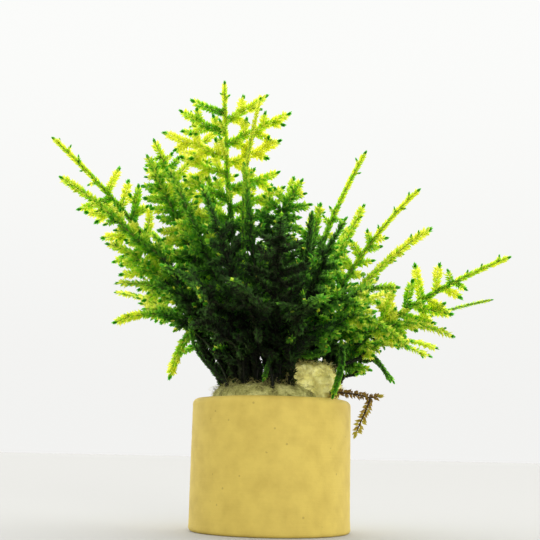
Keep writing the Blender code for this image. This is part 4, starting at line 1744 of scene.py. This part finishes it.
@dataclass
class Studio:
    """Pale floor, soft lights and the camera."""

    eye: Triple = (-0.001, -0.210, 0.016)
    target: Triple = (-0.001, 0.0, 0.0569)
    lens: float = 63.4
    roll: float = math.radians(1.2)
    floor_size: float = 6.0
    floor_colour: Colour = (0.46, 0.46, 0.45)
    floor_roughness: float = 0.9
    lamp_place: Triple = (0.30, -0.85, 0.18)
    lamp_target: Triple = (0.0, 0.0, 0.055)
    lamp_size: float = 0.35
    lamp_power: float = 3.5
    haze: Colour = (0.89, 0.89, 0.875)
    wall: Colour = (0.965, 0.97, 0.955)
    haze_top: float = 0.45
    sky: Colour = (1.0, 0.995, 0.97)
    front_light: float = 0.45
    rear_light: float = 2.65

    def camera(self) -> None:
        """A camera a little below the pot's rim, which looks slightly up."""
        lens = bpy.data.cameras.new("camera")
        lens.lens = self.lens
        lens.sensor_width = 36.0
        lens.clip_start = 0.01
        camera = linked("camera", lens)
        way = Vector(self.target) - Vector(self.eye)
        turn = way.to_track_quat("-Z", "Y") @ Euler((0.0, 0.0, self.roll)).to_quaternion()
        camera.location = self.eye
        camera.rotation_euler = turn.to_euler()
        bpy.context.scene.camera = camera

    def lamp(self) -> None:
        """A square area light in front that faces the clump."""
        data = bpy.data.lights.new("front_light", "AREA")
        data.size = self.lamp_size
        data.energy = self.lamp_power
        light = linked("front_light", data)
        light.location = self.lamp_place
        way = Vector(self.lamp_target) - Vector(self.lamp_place)
        light.rotation_euler = way.to_track_quat("-Z", "Y").to_euler()

    def world(self) -> None:
        """A hazy background, and brighter light from behind than from the front."""
        world = bpy.data.worlds.new("world")
        bpy.context.scene.world = world
        world.use_nodes = True
        graph = Graph(world.node_tree)
        place = graph.add("ShaderNodeTexCoord").outputs["Generated"]
        way = graph.add("ShaderNodeSeparateXYZ", {"Vector": place}).outputs
        height = graph.ranged(way["Z"], (0.0, self.haze_top), (0.0, 1.0))
        seen = ramp(graph, height, ((0.0, self.haze), (1.0, self.wall)))
        shown = graph.add("ShaderNodeBackground", {"Color": seen})
        depth = graph.ranged(way["Y"], (-1.0, 1.0), (self.front_light, self.rear_light))
        lit = graph.add("ShaderNodeBackground", {"Color": (*self.sky, 1.0), "Strength": depth})
        direct = graph.add("ShaderNodeLightPath").outputs["Is Camera Ray"]
        both = graph.add("ShaderNodeMixShader", {0: direct, 1: lit.outputs[0], 2: shown.outputs[0]})
        graph.add("ShaderNodeOutputWorld", {"Surface": both.outputs[0]})

    def floor(self) -> None:
        """A wide matt floor at the pot's foot."""
        mesh = bpy.data.meshes.new("floor")
        form = bmesh.new()
        bmesh.ops.create_grid(form, x_segments=8, y_segments=8, size=self.floor_size)
        form.to_mesh(mesh)
        form.free()
        material, graph, output = new_material("floor")
        inputs = {"Base Color": (*self.floor_colour, 1.0), "Roughness": self.floor_roughness}
        skin = graph.add("ShaderNodeBsdfPrincipled", inputs)
        graph.feed(output.inputs["Surface"], skin.outputs[0])
        mesh.materials.append(material)
        linked("floor", mesh)

    def build(self) -> None:
        """Background, floor, light and camera."""
        bpy.context.scene.view_settings.view_transform = "Standard"
        self.world()
        self.floor()
        self.lamp()
        self.camera()


MOUND_COAT = {"Seed": 3}
TUFT_COAT = {"Seed": 5, "Density": 9.0e6, "Longest": 2.6 * MM}
DRY_LEAVES = {"Leaf Step": 0.2 * MM}


def clothe(piece: Piece, node: str | None) -> None:
    """Lets a piece ride the body and take a node's place if it stands for one, and logs its face count.
    """
    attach(piece, BODY)
    if node:
        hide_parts(node)
    LOG.info("%s: %d faces", piece.name, len(piece.data.polygons))


def main() -> None:
    """Builds every piece over the frame."""
    logging.basicConfig(level=logging.INFO, format="%(message)s")
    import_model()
    Studio().build()
    shape = WoolShape()
    clothe(ClayPot(shape).build(CLAY.material()), "pot")

    wool, fibres, fibre = RockWool(shape), FibreTree(), WoolFibre().build()
    mound, tuft = wool.mound(MOUND_WOOL.material()), wool.tuft(TUFT_WOOL.material())
    lying = {"Fibre": fibre, "Finish": MOUND_FIBRE.material(), **MOUND_COAT}
    torn = {"Fibre": fibre, "Finish": TUFT_FIBRE.material(), **TUFT_COAT}
    mound_coat = grown("wool_mound_fibres", mound.data.copy(), fibres, lying)
    tuft_coat = grown("wool_tuft_fibres", tuft.data.copy(), fibres, torn)
    clothe(mound, "rockwool_plug")
    clothe(mound_coat, None)
    clothe(tuft, "rockwool_tuft")
    clothe(tuft_coat, None)

    foliage, blade = FoliageTree(), LeafBlade().build()
    dry = {"Leaf": blade, "Leaf Finish": DRY_LEAF.material(), "Stem Finish": DRY_STEM.material()}
    sprig = strand_mesh("sprig_strands", DrySprig().strands())
    clothe(grown("dried_sprig", sprig, foliage, dry | DRY_LEAVES), "dry_sprig")

    green = {"Leaf": blade, "Leaf Finish": GREEN_LEAF.material(), "Stem Finish": GREEN_STEM.material()}
    for seed, (name, path) in enumerate(StemLayout(shape).settled(SHOOTS).items(), 1):
        shoot = MossShoot(name + "_moss", SHOOTS[name], path, seed)
        clothe(shoot.build(foliage, green), "shoot_" + name)
    for helper in (blade, fibre):
        bpy.data.objects.remove(helper)


if __name__ == "__main__":
    main()
